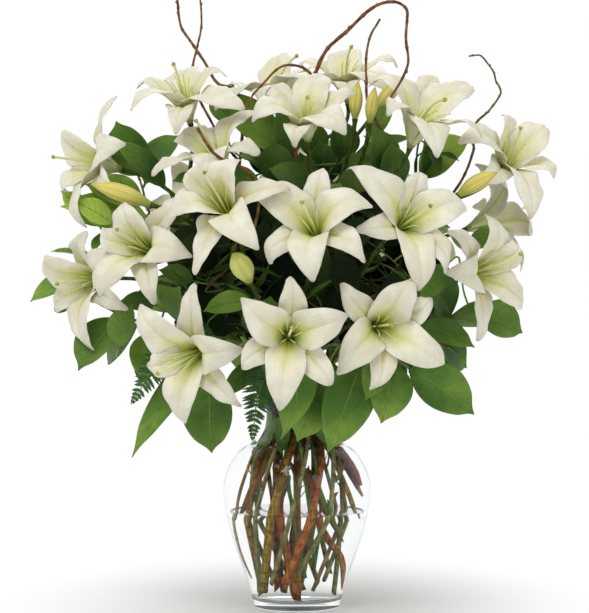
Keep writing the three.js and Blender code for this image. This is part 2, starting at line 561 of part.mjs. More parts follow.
// The six tepals as one closed skin: a funnel from the receptacle, whose rim divides into six free lobes
// with a small notch between each two.
function corolla(base, facing, size, tepals, rows) {
  const positions = [];
  const index = [];
  const put = (place) => positions.push(place.x, place.y, place.z) / 3 - 1;
  const quad = (a, b, c, d) => index.push(a, b, c, a, c, d);
  const between = (a, b, share) => ({
    point: a.point.clone().lerp(b.point, share),
    normal: a.normal.clone().lerp(b.normal, share).normalize(),
  });
  const rim = tepals.flatMap((one, i) => {
    const middle = one(FUNNEL, 0);
    const before = between(one(FUNNEL, 1), tepals[(i + 5) % 6](FUNNEL, -1), 0.5);
    const after = between(one(FUNNEL, -1), tepals[(i + 1) % 6](FUNNEL, 1), 0.5);
    return [between(before, middle, NOTCH), between(after, middle, NOTCH)];
  });
  const layers = [1, -1].map((face) => {
    const lift = ({ point, normal }) => put(point.clone().addScaledVector(normal, (face * TEPAL_THICKNESS) / 2));
    const floor = base.clone().addScaledVector(facing, face > 0 ? CUP_DEPTH * size : 0);
    const radius = face > 0 ? CUP_RADIUS * size : STALK_RADIUS * 1.25;
    const ring = rim.map(({ point }) => put(
      floor.clone().addScaledVector(across(facing, point.clone().sub(base)), radius),
    ));
    return {
      centre: put(floor),
      ring,
      rim: rim.map(lift),
      lobes: tepals.map((one) => [...rows.map((u) => [-1, 0, 1].map((v) => lift(one(u, v)))), lift(one(1, 0))]),
    };
  });
  const [top, under] = layers;
  for (let k = 0; k < 12; k += 1) {
    const next = (k + 1) % 12;
    quad(top.ring[next], top.ring[k], top.rim[k], top.rim[next]);
    index.push(under.ring[next], under.rim[k], under.ring[k], under.ring[next], under.rim[next], under.rim[k]);
    index.push(top.centre, top.ring[k], top.ring[next]);
    index.push(under.centre, under.ring[next], under.ring[k]);
  }
  tepals.forEach((one, i) => {
    const [left, right, next] = [2 * i + 1, 2 * i, (2 * i + 2) % 12];
    quad(top.rim[next], top.rim[left], under.rim[left], under.rim[next]);
    const [above, below] = layers.map((layer) => [[layer.rim[left], layer.rim[right]], ...layer.lobes[i]]);
    const last = rows.length;
    for (let row = 0; row < last; row += 1) {
      const [a, b] = [above[row], above[row + 1]];
      const [c, d] = [below[row], below[row + 1]];
      const end = a.length - 1;
      index.push(a[0], a[1], b[1], a[0], b[1], b[0], a[end], b[2], b[1]);
      index.push(c[0], d[1], c[1], c[0], d[0], d[1], c[end], d[1], d[2]);
      if (end === 2) index.push(a[1], a[2], b[1], c[1], d[1], c[2]);
      quad(a[0], b[0], d[0], c[0]);
      quad(c[end], d[2], b[2], a[end]);
    }
    const [tip, back] = [above[last + 1], below[last + 1]];
    index.push(above[last][0], above[last][1], tip, above[last][1], above[last][2], tip);
    index.push(below[last][0], back, below[last][1], below[last][1], back, below[last][2]);
    quad(above[last][0], tip, back, below[last][0]);
    quad(below[last][2], back, tip, above[last][2]);
  });
  const geometry = new THREE.BufferGeometry();
  geometry.setAttribute('position', new THREE.BufferAttribute(new Float32Array(positions), 3));
  geometry.setIndex(index);
  return toSolid(geometry);
}

function bloomSolid(bloom) {
  const base = vector(bloom.base);
  const facing = vector(bloom.facing).normalize();
  const size = bloom.size ?? 1;
  const length = PISTIL_LENGTH * size;
  const stigma = bloom.stigma
    ? inDepth(base, facing, bloom.stigma[0], bloom.stigma[1], length, length)
    : base.clone().addScaledVector(facing, length);
  const pistil = new THREE.QuadraticBezierCurve3(
    base.clone().addScaledVector(facing, 5 * size),
    base.clone().addScaledVector(facing, 0.6 * length),
    stigma,
  );
  const style = bar(pistil.getPoints(2), [1.6, 1.2, 2.2], 4);
  const rows = bloom.seen ? LOBE_ROWS : HIDDEN_ROWS;
  return oneBody(corolla(base, facing, size, tepalsOf(bloom), rows).add(style));
}

function budSolid(bud) {
  const base = vector(bud.base);
  const tip = vector(bud.tip);
  const points = [0, 0.2, 0.5, 0.8, 1].map((t) => base.clone().lerp(tip, t));
  return bar(points, [0.38, 0.8, 1, 0.72, 0.2].map((share) => share * bud.radius), 5);
}

// A broad leaf: a short stalk, then an oval blade folded a little along its rib, arched from root to tip.
function broadLeaf(root, tip, width) {
  return (swing) => {
    const way = tip.clone().sub(root).normalize();
    const outward = root.clone().add(tip).multiplyScalar(0.5).sub(CROWN_CENTER).normalize();
    const face = across(way, outward.multiplyScalar(0.7).add(tip.y < BACK_FROM ? FRONT_LIGHT : BACK_LIGHT));
    const side = way.clone().cross(face);
    const end = swung(root, tip, face, side, swing);
    const middle = root.clone().lerp(end, 0.55).addScaledVector(face, 0.16 * root.distanceTo(end));
    const curve = new THREE.QuadraticBezierCurve3(root, middle, end);
    const breadth = across(end.clone().sub(root).normalize(), side);
    return blade(LEAF_ROWS, 2, LEAF_THICKNESS, (u, v) => {
      const normal = breadth.clone().cross(curve.getTangent(u)).normalize();
      const oval = Math.sin(Math.PI * Math.max(0, (u - 0.08) / 0.92) ** 0.8) ** 0.85;
      const half = Math.max(1.2, (width / 2) * oval);
      const point = curve.getPoint(u).addScaledVector(breadth, half * v)
        .addScaledVector(normal, 0.28 * half * v * v);
      return { point, normal };
    });
  };
}

// A fern's frond along its rib: the outline runs out to each leaflet's tip and back to the rib.
function frond(fern) {
  const curve = stemCurve(fern);
  const share = (u) => onCrown(fern, fern.from + (1 - fern.from) * u);
  const rows = [];
  for (let k = 0; k <= 2 * FERN_TEETH; k += 1) rows.push(k / (2 * FERN_TEETH));
  return blade(rows, 2, LEAF_THICKNESS, (u, v) => {
    const k = Math.round(u * 2 * FERN_TEETH);
    const tangent = curve.getTangent(share(u));
    const face = across(tangent, FRONT_LIGHT);
    const side = tangent.clone().cross(face);
    const tooth = k % 2 === 1 && v !== 0;
    const half = tooth ? (fern.width / 2) * Math.sin(Math.PI * (0.28 + 0.72 * u)) : 1;
    const forward = tooth ? Math.min(1, u + 0.6 / FERN_TEETH) : u;
    const point = curve.getPoint(share(forward)).addScaledVector(side, half * v).addScaledVector(face, -0.25 * half * v * v);
    return { point, normal: face };
  });
}

// A narrow leaf of a lily's stem.
function lanceLeaf(root, tip) {
  return (swing) => {
    const way = tip.clone().sub(root).normalize();
    const face = across(way, new THREE.Vector3(0, 0, 1));
    const side = way.clone().cross(face);
    const end = swung(root, tip, face, side, swing);
    const middle = root.clone().lerp(end, 0.5).addScaledVector(face, 0.12 * root.distanceTo(end));
    const curve = new THREE.QuadraticBezierCurve3(root, middle, end);
    return blade(LANCE_ROWS, 1, LEAF_THICKNESS, (u, v) => {
      const normal = side.clone().cross(curve.getTangent(u)).normalize();
      const half = (LANCE_WIDTH / 2) * (u < 0.1 ? 0.4 : 1);
      return { point: curve.getPoint(u).addScaledVector(side, half * v), normal };
    });
  };
}

function swung(root, tip, face, side, swing) {
  if (swing === 0) return tip.clone();
  const ring = Math.ceil(swing / SWINGS_A_TURN);
  const turn = (2 * Math.PI * swing) / SWINGS_A_TURN + ring;
  const length = tip.distanceTo(root);
  const reach = length * Math.tan(radians(SWING_STEP * ring));
  return tip.clone()
    .addScaledVector(side, reach * Math.cos(turn))
    .addScaledVector(face, reach * Math.sin(turn))
    .sub(root)
    .setLength(length * (1 - 0.015 * swing))
    .add(root);
}

// The first swing of a leaf that is clear of all that is already placed, or nothing.
function settled(leaf, carrier) {
  for (let swing = 0; swing < SWING_TRIES; swing += 1) {
    const solid = leaf(swing);
    const touching = placed.some((other) => other.owner !== carrier && near(solid, other.solid)
      && solid.minGap(other.solid, LEAF_CLEARANCE) < LEAF_CLEARANCE);
    if (!touching) return solid;
  }
  return null;
}

function near(a, b) {
  const first = a.boundingBox();
  const second = b.boundingBox();
  return [0, 1, 2].every((i) => first.min[i] < second.max[i] + 1 && second.min[i] < first.max[i] + 1);
}

const allStems = [...LILY_STEMS, ...SALAL_SPRAYS, ...WILLOW_TWIGS, ...FERNS];

addNode('vase', vase(), COLOURS.vase);
addNode('water', water(allStems), COLOURS.water);
for (const bloom of BLOOMS) addNode(bloom.name, bloomSolid(bloom), COLOURS.bloom);
for (const bud of BUDS) addNode(bud.name, budSolid(bud), COLOURS.bud);

// The stems, stalks and twigs are all in place before any leaf is settled between them.
const carriers = new Map();
for (const stem of LILY_STEMS) {
  const parts = [stemBar(stem)];
  for (const item of [...BLOOMS, ...BUDS].filter((one) => one.stem === stem.name)) {
    const base = vector(item.base);
    const facing = item.tip ? vector(item.tip).sub(base).normalize() : vector(item.facing).normalize();
    parts.push(stalk(stem, item.at, base, facing));
  }
  carriers.set(stem.name, wasm.Manifold.union(parts));
}
for (const twig of WILLOW_TWIGS) {
  const parts = [stemBar(twig)];
  for (const branch of twig.branches) {
    const curve = new THREE.CatmullRomCurve3(branch.map(vector), false, 'catmullrom');
    const points = curve.getPoints(2 * branch.length);
    parts.push(bar(points, points.map((point, i) => twig.radius * (0.62 - 0.3 * (i / points.length))), 4));
  }
  carriers.set(twig.name, wasm.Manifold.union(parts));
}
for (const spray of SALAL_SPRAYS) carriers.set(spray.name, stemBar(spray));
for (const fern of FERNS) carriers.set(fern.name, oneBody(stemBar(fern, fern.from).add(frond(fern))));
for (const [name, solid] of carriers) placed.push({ owner: name, solid });

for (const twig of WILLOW_TWIGS) addNode(twig.name, oneBody(carriers.get(twig.name)), COLOURS.willow);

for (const spray of SALAL_SPRAYS) {
  const curve = stemCurve(spray);
  const parts = [carriers.get(spray.name)];
  for (const [at, tip, width] of spray.leaves) {
    const leaf = settled(broadLeaf(curve.getPoint(onCrown(spray, at)), vector(tip), width), spray.name);
    if (leaf) parts.push(leaf);
  }
  addNode(spray.name, oneBody(wasm.Manifold.union(parts)), COLOURS.salal);
}

for (const fern of FERNS) addNode(fern.name, oneBody(carriers.get(fern.name)), COLOURS.fern);

for (const stem of LILY_STEMS) {
  const curve = stemCurve(stem);
  const parts = [carriers.get(stem.name)];
  for (let i = 0; i < stem.lances; i += 1) {
    const root = curve.getPoint(onCrown(stem, 0.1 + (0.8 * i) / stem.lances));
    const turn = 2.4 * i + stem.neck[0];
    const tip = root.clone().add(new THREE.Vector3(62 * Math.cos(turn), 62 * Math.sin(turn), 30));
    const leaf = settled(lanceLeaf(root, tip), stem.name);
    if (leaf) parts.push(leaf);
  }
  addNode(stem.name, oneBody(wasm.Manifold.union(parts)), COLOURS.lilyStem);
}

export default group;
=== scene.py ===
import math

import bpy
import numpy as np
from mathutils.bvhtree import BVHTree
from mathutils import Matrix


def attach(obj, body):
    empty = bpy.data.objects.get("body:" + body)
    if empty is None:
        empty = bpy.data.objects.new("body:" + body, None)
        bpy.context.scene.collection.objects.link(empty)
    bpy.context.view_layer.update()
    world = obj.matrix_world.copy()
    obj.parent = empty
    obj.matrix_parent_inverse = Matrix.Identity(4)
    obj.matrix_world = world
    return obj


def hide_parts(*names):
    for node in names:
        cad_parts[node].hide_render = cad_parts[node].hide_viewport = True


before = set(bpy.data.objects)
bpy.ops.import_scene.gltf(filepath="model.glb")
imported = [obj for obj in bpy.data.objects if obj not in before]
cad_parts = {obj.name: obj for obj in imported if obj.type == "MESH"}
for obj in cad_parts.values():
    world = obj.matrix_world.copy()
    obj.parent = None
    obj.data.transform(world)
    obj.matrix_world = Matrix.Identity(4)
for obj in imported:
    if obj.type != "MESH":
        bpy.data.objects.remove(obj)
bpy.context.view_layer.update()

# Camera: it stands level, a little over two metres in front of the vase, so the bunch is seen straight on
# and the foot of the glass stands on the lower edge of the picture.
camera = bpy.data.objects.new("camera", bpy.data.cameras.new("camera"))
bpy.context.collection.objects.link(camera)
bpy.context.scene.camera = camera
camera.location = (-0.0026, -2.2, 0.315)
camera.rotation_euler = (math.pi / 2, 0, 0)
camera.data.sensor_fit = "VERTICAL"
camera.data.sensor_height = 36
camera.data.lens = 123

# Studio: an even white room with a large soft light above the camera, a little to its left, and two weaker
# ones to the right and behind. The room lights the object less than it is bright, so the white stays clean.
# Each light is a square with its place, its size in metres and its power.
ROOM_TINT = (1.0, 0.985, 0.95, 1)
ROOM_LIGHT = 0.5
LIGHTS = {
    "key light": ((-0.8, -1.5, 2.2), 1.3, 29),
    "fill light": ((1.5, -1.5, 1.3), 1.2, 6),
    "back light": ((0.3, 1.8, 1.9), 1.2, 12),
}
AIM = (0, 0, 0.35)
bpy.context.scene.view_settings.view_transform = "Standard"
world = bpy.data.worlds.new("white room")
bpy.context.scene.world = world
world.use_nodes = True
room = world.node_tree
seen = room.nodes["Background"]
seen.inputs["Color"].default_value = (1, 1, 1, 1)
seen.inputs["Strength"].default_value = 1.0
lighting = room.nodes.new("ShaderNodeBackground")
lighting.inputs["Color"].default_value = ROOM_TINT
lighting.inputs["Strength"].default_value = ROOM_LIGHT
seen_or_lit = room.nodes.new("ShaderNodeMixShader")
ray = room.nodes.new("ShaderNodeLightPath")
room.links.new(ray.outputs["Is Diffuse Ray"], seen_or_lit.inputs["Fac"])
room.links.new(seen.outputs["Background"], seen_or_lit.inputs[1])
room.links.new(lighting.outputs["Background"], seen_or_lit.inputs[2])
room.links.new(seen_or_lit.outputs["Shader"], room.nodes["World Output"].inputs["Surface"])
for name, (place, size, power) in LIGHTS.items():
    lamp = bpy.data.objects.new(name, bpy.data.lights.new(name, "AREA"))
    bpy.context.collection.objects.link(lamp)
    lamp.data.shape = "SQUARE"
    lamp.data.size = size
    lamp.data.energy = power
    lamp.location = place
    right, ahead, up = np.subtract(AIM, place)
    lamp.rotation_euler = (math.atan2(math.hypot(right, ahead), -up), 0, math.atan2(-right, ahead))

# Vase: one turned piece of clear glass with a thick floor, a round belly, a narrow neck and a flared rim
# with a fire-polished edge. Its outline goes through the same levels of radius and height as the CAD solid.
GLASS_LEVELS = [(47.5, 12), (53, 31), (68.6, 75), (77, 116), (74, 141), (61, 163), (46, 174), (38.5, 190),
                (37.5, 214), (43, 236), (53, 252)]
FOOT_RADIUS = 45.0
FOOT_EDGE = 2.2
RIM_RADIUS = 53.0
RIM_HEIGHT = 250.4
GLASS = 4.0
FLOOR = 8.0
VASE_SIDES = 128
MILLIMETRE = 0.001


class Signal:
    """A value in a material: the usual operators add the Math nodes that work it out."""

    def __init__(self, finish, socket):
        self.finish = finish
        self.socket = socket

    def math(self, operation, *others):
        return self.finish.node("ShaderNodeMath", {"operation": operation}, self, *others)

    def __add__(self, other):
        return self.math("ADD", other)

    def __mul__(self, other):
        return self.math("MULTIPLY", other)

    def __sub__(self, other):
        return self.math("SUBTRACT", other)

    def __rsub__(self, other):
        return self * -1 + other

    def __abs__(self):
        return self.math("ABSOLUTE")

    __radd__ = __add__
    __rmul__ = __mul__

    def step(self, low, high):
        """0 below low, 1 above high and a smooth rise between them, or the fall if low is the greater."""
        if low > high:
            return 1 - self.step(high, low)
        settings = {"interpolation_type": "SMOOTHSTEP"}
        return self.finish.node("ShaderNodeMapRange", settings, self, low, high, 0, 1)

    def wave(self):
        """A sine of the value, moved to run from 0 to 1."""
        return self.math("SINE") * 0.5 + 0.5


def tinted(red, green, blue):
    """A colour given as 0 to 255 screen values, as the linear colour that a socket takes."""
    screen = np.array([red, green, blue]) / 255
    linear = np.where(screen <= 0.04045, screen / 12.92, ((screen + 0.055) / 1.055) ** 2.4)
    return (*linear, 1.0)


class Finish:
    """A material under way. Its node method adds any node, its settings first and then its sockets."""

    def __init__(self, name, **fixed):
        self.material = bpy.data.materials.new(name)
        self.material.use_nodes = True
        self.tree = self.material.node_tree
        self.shader = self.tree.nodes["Principled BSDF"]
        for socket, value in fixed.items():
            self.shader.inputs[socket.replace("_", " ")].default_value = value

    def feed(self, socket, value):
        if isinstance(value, Signal):
            self.tree.links.new(value.socket, socket)
        else:
            socket.default_value = value

    def drive(self, socket, value):
        self.feed(self.shader.inputs[socket], value)

    def node(self, kind, settings=None, *values, output=0, **named):
        made = self.tree.nodes.new(kind)
        for setting, value in (settings or {}).items():
            setattr(made, setting, value)
        for socket, value in zip(made.inputs, values):
            self.feed(socket, value)
        for name, value in named.items():
            self.feed(made.inputs[name.replace("_", " ")], value)
        return Signal(self, made.outputs[output])

    def attribute(self, name):
        return self.node("ShaderNodeAttribute", {"attribute_name": name}, output="Fac")

    def place(self, stretch=None):
        """The place on the object, which a stretch multiplies along each axis."""
        where = self.node("ShaderNodeTexCoord", output="Object")
        return self.node("ShaderNodeMapping", None, where, Scale=stretch) if stretch else where

    def noise(self, scale, detail=3.0, roughness=0.55, stretch=None):
        return self.node("ShaderNodeTexNoise", None, Vector=self.place(stretch), Scale=scale, Detail=detail,
                         Roughness=roughness)

    def blend(self, mask, below, above):
        """The colour below where the mask is 0 and the one above where it is 1. Each is an earlier result,
        a linear colour of four values or three screen values."""
        made = self.tree.nodes.new("ShaderNodeMix")
        made.data_type = "RGBA"
        self.feed(made.inputs[0], mask)
        for socket, colour in ((made.inputs[6], below), (made.inputs[7], above)):
            on_screen = isinstance(colour, tuple) and len(colour) == 3
            self.feed(socket, tinted(*colour) if on_screen else colour)
        return Signal(self, made.outputs[2])

    def layered(self, colour, *layers):
        """A colour with others laid over it in turn, each where its own mask is 1."""
        for mask, over in layers:
            colour = self.blend(mask, colour, over)
        return colour

    def relief(self, height, depth, strength=1.0):
        """Bumps the surface by a height of 0 to 1 and a depth in metres."""
        bump = self.node("ShaderNodeBump", None, Strength=strength, Distance=depth, Height=height)
        self.drive("Normal", bump)


def make(name, parts, finish, slot, *nodes):
    """One object of all the parts: each gives its points in millimetres, its faces and its values by name.
    It rides on the only body, takes the record's finish and stands for its CAD nodes."""
    points = np.concatenate([part["points"] for part in parts]) * MILLIMETRE
    starts = np.cumsum([0] + [len(part["points"]) for part in parts])
    faces = [face + start for part, start in zip(parts, starts) for face in part["faces"]]
    corners = np.concatenate([face.ravel() for face in faces])
    counts = np.concatenate([np.full(len(face), face.shape[1]) for face in faces])
    mesh = bpy.data.meshes.new(name)
    mesh.vertices.add(len(points))
    mesh.vertices.foreach_set("co", points.ravel())
    mesh.loops.add(len(corners))
    mesh.loops.foreach_set("vertex_index", corners)
    mesh.polygons.add(len(counts))
    mesh.polygons.foreach_set("loop_start", np.cumsum(counts) - counts)
    mesh.update(calc_edges=True)
    mesh.polygons.foreach_set("use_smooth", np.ones(len(counts), bool))
    for value in sorted({key for part in parts for key in part["values"]}):
        layer = mesh.attributes.new(value, "FLOAT", "POINT")
        layer.data.foreach_set("value", np.concatenate([
            np.broadcast_to(part["values"].get(value, 0.0), len(part["points"])) for part in parts]))
    mesh.validate()
    mesh.materials.append(finish.material)
    made = bpy.data.objects.new(name, mesh)
    bpy.context.collection.objects.link(made)
    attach(made, "root")
    if nodes:
        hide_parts(*nodes)


def faces_of(*corners):
    """Faces from one array for each of their corners."""
    return np.stack(corners, -1).reshape(-1, len(corners))


def lathe(profile):
    """A profile of radius and height, turned round the upright axis. It starts and ends on the axis."""
    angle = np.linspace(0, 2 * np.pi, VASE_SIDES, endpoint=False)
    radius, height = profile[1:-1, 0], profile[1:-1, 1]
    ring = np.stack([np.outer(radius, np.cos(angle)), np.outer(radius, np.sin(angle)),
                     np.repeat(height[:, None], VASE_SIDES, 1)], -1).reshape(-1, 3)
    points = np.concatenate([ring, [[0, 0, profile[0, 1]], [0, 0, profile[-1, 1]]]])
    index = np.arange(len(ring)).reshape(len(radius), VASE_SIDES)
    turn = np.roll(index, -1, 1)
    walls = faces_of(index[:-1], turn[:-1], turn[1:], index[1:])
    first = faces_of(turn[0], index[0], np.full(VASE_SIDES, len(ring)))
    last = faces_of(index[-1], turn[-1], np.full(VASE_SIDES, len(ring) + 1))
    return {"points": points, "faces": [walls, first, last], "values": {}}


def spline(points, at, open_ends=True):
    """A Catmull-Rom curve through the points, at shares from 0 to 1, the same time for each stretch."""
    points = np.asarray(points, float)
    before, after = points[:1], points[-1:]
    if open_ends:
        before = 2 * points[:1] - points[1:2]
        after = 2 * points[-1:] - points[-2:-1]
    held = np.concatenate([before, points, after])
    place = np.clip(np.asarray(at, float), 0, 1) * (len(points) - 1)
    first = np.minimum(place.astype(int), len(points) - 2)
    t = (place - first)[..., None]
    a, b, c, d = (held[first + k] for k in range(4))
    return b + 0.5 * t * (c - a + t * (2 * a - 5 * b + 4 * c - d + t * (3 * (b - c) + d - a)))


def glass_wall(inset):
    """The outline of the glass from its foot to its rim, moved in from the outside by a thickness."""
    levels = np.array(GLASS_LEVELS, float)
    levels[:, 0] -= inset
    return spline(levels, np.linspace(0, 1, 90), open_ends=False)


def rounded(center, radius, start, end, steps):
    """An arc of radius and height points round a center, between two angles in degrees."""
    angle = np.radians(np.linspace(start, end, steps))
    return np.stack([center[0] + radius * np.cos(angle), center[1] + radius * np.sin(angle)], -1)


def see_through(finish, clear):
    """Light for shadows passes the glass straight, as it does through a thin clear wall."""
    open_air = finish.node("ShaderNodeBsdfTransparent", None, Color=clear)
    shadow = finish.node("ShaderNodeLightPath", output="Is Shadow Ray")
    surface = Signal(finish, finish.shader.outputs["BSDF"])
    mixed = finish.node("ShaderNodeMixShader", None, shadow, surface, open_air)
    finish.tree.links.new(mixed.socket, finish.tree.nodes["Material Output"].inputs["Surface"])


glass = Finish("clear_glass", Base_Color=(0.985, 0.995, 0.99, 1), Roughness=0.0, IOR=1.24,
               Transmission_Weight=1.0)
see_through(glass, (0.96, 0.98, 0.97, 1))
glass.relief(glass.noise(14.0, 1.0), 0.0006, 0.25)
floor_edge = [[FOOT_RADIUS - 5.5, FLOOR + 2.4], [FOOT_RADIUS - 8.5, FLOOR + 0.5], [FOOT_RADIUS - 13, FLOOR]]
make("glass_vase", [lathe(np.concatenate([
    [[0, 0]],
    rounded((FOOT_RADIUS - FOOT_EDGE, FOOT_EDGE), FOOT_EDGE, -90, 0, 8),
    glass_wall(0)[:-2],
    rounded((RIM_RADIUS - GLASS / 2, RIM_HEIGHT), GLASS / 2, 20, 160, 9),
    glass_wall(GLASS)[::-1][2:],
    floor_edge,
    [[0, FLOOR]],
]))], glass, "glass", "vase")

# Water: it fills the belly to a little under its widest level, with its surface drawn up slightly at the
# glass. It reaches a hair into the glass, so no film of air shows between them.
WATER_HEIGHT = 100.0
HAIR = 0.15
MENISCUS_WIDTH = 7
MENISCUS_RISE = 1.4
MENISCUS_REACH = 0.4
still_water = Finish("still_water", Base_Color=(0.97, 0.985, 0.98, 1), Roughness=0.0, IOR=1.1,
                     Transmission_Weight=1.0)
see_through(still_water, (0.97, 0.99, 0.98, 1))
still_water.relief(still_water.noise(30.0, 1.0), 0.0004, 0.3)
wet = glass_wall(GLASS - HAIR)
wet = wet[wet[:, 1] < WATER_HEIGHT]
inward = np.linspace(0, 1, 9)
meniscus = np.stack([wet[-1, 0] + MENISCUS_REACH - MENISCUS_WIDTH * inward,
                     WATER_HEIGHT + MENISCUS_RISE * (1 - inward) ** 3], -1)
make("water_fill", [lathe(np.concatenate([
    [[0, FLOOR - HAIR], [FOOT_RADIUS - 12, FLOOR - HAIR], [FOOT_RADIUS - 6.5, FLOOR + 1.2]],
    wet,
    meniscus,
    [[0, WATER_HEIGHT]],
]))], still_water, "water", "water")

# Lily stems: thick round stalks cut at a slant, olive to red-brown where they stand in the vase and fresh
# green above it. Each has its place in the neck as an angle and a radius, the height of its cut end, its
# thickness, its count of narrow leaves and its way up through the crown. Its stalks are added to it later.
INNER_RING = 13.0
OUTER_RING = 26.0
# The bunch at each height in the vase: its spread against the neck, its turn in degrees and the height.
SPREADS = [(1.98, -36, WATER_HEIGHT + 3), (1.68, -19, 156), (1.16, -7, 184), (1.0, 0, 214)]
FOOT_SPREAD = (1.36, -76)
LILY_STEMS = {
    "left": dict(neck=(190, INNER_RING), foot=14, radius=4.3, lances=3,
                 crown=[(-30, -6, 262), (-70, -14, 335), (-108, -14, 412)]),
    "front_left": dict(neck=(228, OUTER_RING), foot=20, radius=4, lances=3,
                       crown=[(-26, -29, 262), (-46, -56, 325), (-60, -62, 392)]),
    "front": dict(neck=(276, OUTER_RING), foot=17, radius=4.6, lances=3,
                  crown=[(4, -38, 262), (5, -64, 325), (9, -74, 430)]),
    "front_right": dict(neck=(324, OUTER_RING), foot=26, radius=4, lances=3,
                        crown=[(31, -23, 262), (55, -52, 325), (88, -46, 430)]),
    "right": dict(neck=(12, INNER_RING), foot=17, radius=4.2, lances=3,
                  crown=[(34, 6, 262), (76, 4, 335), (128, 2, 405)]),
    "center": dict(neck=(0, 0), foot=13, radius=4.2, lances=2,
                   crown=[(2, 4, 262), (5, 14, 340), (12, 30, 466)]),
    "back": dict(neck=(100, INNER_RING), foot=22, radius=4.1, lances=3,
                 crown=[(-5, 38, 262), (-6, 76, 325), (0, 92, 392)]),
}


def in_bunch(stem, scale, turn, height):
    """Where a stem stands at a height in the vase: the inner ring turns against the outer one."""
    angle, radius = stem["neck"]
    angle = math.radians(angle + (turn if radius > INNER_RING else -turn))
    return (radius * scale * math.cos(angle), radius * scale * math.sin(angle), height)


def stem_curve(stem, at):
    """Points of a stem's curve, from the water's surface up through the neck to the end of its crown."""
    return spline([in_bunch(stem, *spread) for spread in SPREADS] + stem["crown"], at)


def on_crown(stem, at):
    """A share of the crown, from its first point to its end, as a share of the whole curve."""
    below, above = len(SPREADS), len(stem["crown"]) - 1
    return (below + np.asarray(at, float) * above) / (below + above)


def stem_path(stem, end=1.0, steps=8):
    """The whole stem from its cut end under water to a share of its curve."""
    foot = np.array(in_bunch(stem, *FOOT_SPREAD, stem["foot"]))
    stretches = len(SPREADS) + len(stem["crown"]) - 1
    curve = stem_curve(stem, np.linspace(0, end, int(steps * end * stretches) + 1))
    return np.concatenate([foot + np.linspace(0, 1, 8)[:-1, None] * (curve[0] - foot), curve])


def unit(vector):
    """The vector at unit length."""
    vector = np.asarray(vector, float)
    return vector / np.linalg.norm(vector, axis=-1, keepdims=True)


def across(direction, wanted):
    """The part of the wanted direction that lies across another, at unit length."""
    wanted = np.asarray(wanted, float)
    return unit(wanted - (wanted * direction).sum(-1, keepdims=True) * direction)


def tube(path, radius, sides=10, slant=0.0, lobes=None, **values):
    """A closed bar: a round or lobed section of a given radius carried along a path. The section's first
    direction is the one that the whole path leans to least, so it never flips. The first end may be cut
    at a slant, given as its slope."""
    path = np.asarray(path, float)
    radius = np.broadcast_to(np.asarray(radius, float), len(path))
    tangent = unit(np.gradient(path, axis=0))
    first = across(tangent, np.linalg.svd(tangent)[2][-1])
    second = np.cross(tangent, first)
    angle = np.linspace(0, 2 * np.pi, sides, endpoint=False)
    shape = np.ones(sides) if lobes is None else lobes(angle)
    ring = np.cos(angle)[None, :, None] * first[:, None] + np.sin(angle)[None, :, None] * second[:, None]
    points = path[:, None] + (radius[:, None] * shape[None])[..., None] * ring
    points[0] += slant * radius[0] * np.cos(angle)[:, None] * tangent[0]
    index = np.arange(len(path) * sides).reshape(len(path), sides)
    turn = np.roll(index, -1, 1)
    walls = faces_of(index[:-1], turn[:-1], turn[1:], index[1:])
    along = np.repeat(np.linspace(0, 1, len(path)), sides)
    return {"points": points.reshape(-1, 3), "faces": [walls, index[:1, ::-1], index[-1:]],
            "values": {"along": along, "around": np.tile(shape, len(path)), **values}}


stalk_green = Finish("lily_stalk", Roughness=0.55, Specular_IOR_Level=0.03)
stem_tone = stalk_green.attribute("tone")
stem_height = stalk_green.node("ShaderNodeSeparateXYZ", None, stalk_green.place(), output="Z")
streaks = stalk_green.noise(60.0, 4.0, 0.5, stretch=(9.0, 9.0, 1.0))
patchy = stalk_green.noise(24.0).step(0.4, 0.6)
scars = stalk_green.node("ShaderNodeTexWave", {"wave_type": "BANDS", "bands_direction": "Z"}, Scale=28.0,
                         Vector=stalk_green.place(), Distortion=6.0, Detail=2.0).step(0.93, 1.0)
# Dark brown patches on the stems from the water surface up, at full strength from 160 mm.
dark_patches_from_water_up = stem_height.step(0.1, 0.16) * stalk_green.noise(50.0).step(0.25, 0.55) * 0.8
fresh = stalk_green.blend(streaks.step(0.35, 0.7), (50, 62, 28), (88, 104, 46))
olive = stalk_green.blend(streaks.step(0.3, 0.7), (92, 80, 24), (172, 142, 54))
russet = stalk_green.blend(streaks.step(0.3, 0.7), (116, 46, 26), (190, 110, 68))
stalk_green.drive("Base Color", stalk_green.layered(
    stalk_green.blend(stem_tone.step(0.25, 0.85) * 0.8 + patchy * 0.3 - 0.1, olive, russet),
    (scars * 0.5, (86, 58, 28)),
    (dark_patches_from_water_up, (52, 24, 14)),
    (stem_tone.step(1.1, 1.4) * 0.65, (104, 26, 12)),
    (stem_height.step(0.19, 0.27), fresh)))
stalk_green.relief(streaks * 0.7 + scars, 0.0006)

for number, stem in enumerate(LILY_STEMS.values()):
    path = stem_path(stem)
    share = np.linspace(0, 1, len(path))
    bumps = 1 + 0.03 * np.sin(40 * share + number) + 0.02 * np.sin(97 * share)
    stem["tone"] = 0.5 + 0.5 * math.sin(2.3 * number + 1)
    girth = stem["radius"] * (1 - 0.5 * share) * bumps
    stem["parts"] = [tube(path, girth, 14, slant=1.3, tone=stem["tone"])]

# Blooms: six waxy white tepals round a green throat, three narrow outer ones behind three broad inner ones.
# Each is a sheet that rises as a trough, arches out and curls back, with a grooved rib and a wavy edge.
# A long style with a three-lobed stigma and six bare filaments stand in the middle, on a stalk of the stem.
TEPAL_REACH = 79.0
TEPAL_HEIGHT = 43.0
OUTER_WIDTH = 28.0
INNER_WIDTH = 39.0
LAYER_GAP = 3.0
TIP_TURN = math.radians(16)
LOWEST_TIP = 22.0
HIGHEST_TIP = 62.0
LEAST_SPREAD = 40.0
SEARCHED_DEPTH = 85
PISTIL_LENGTH = 78.0
FILAMENT_POINTS = 16
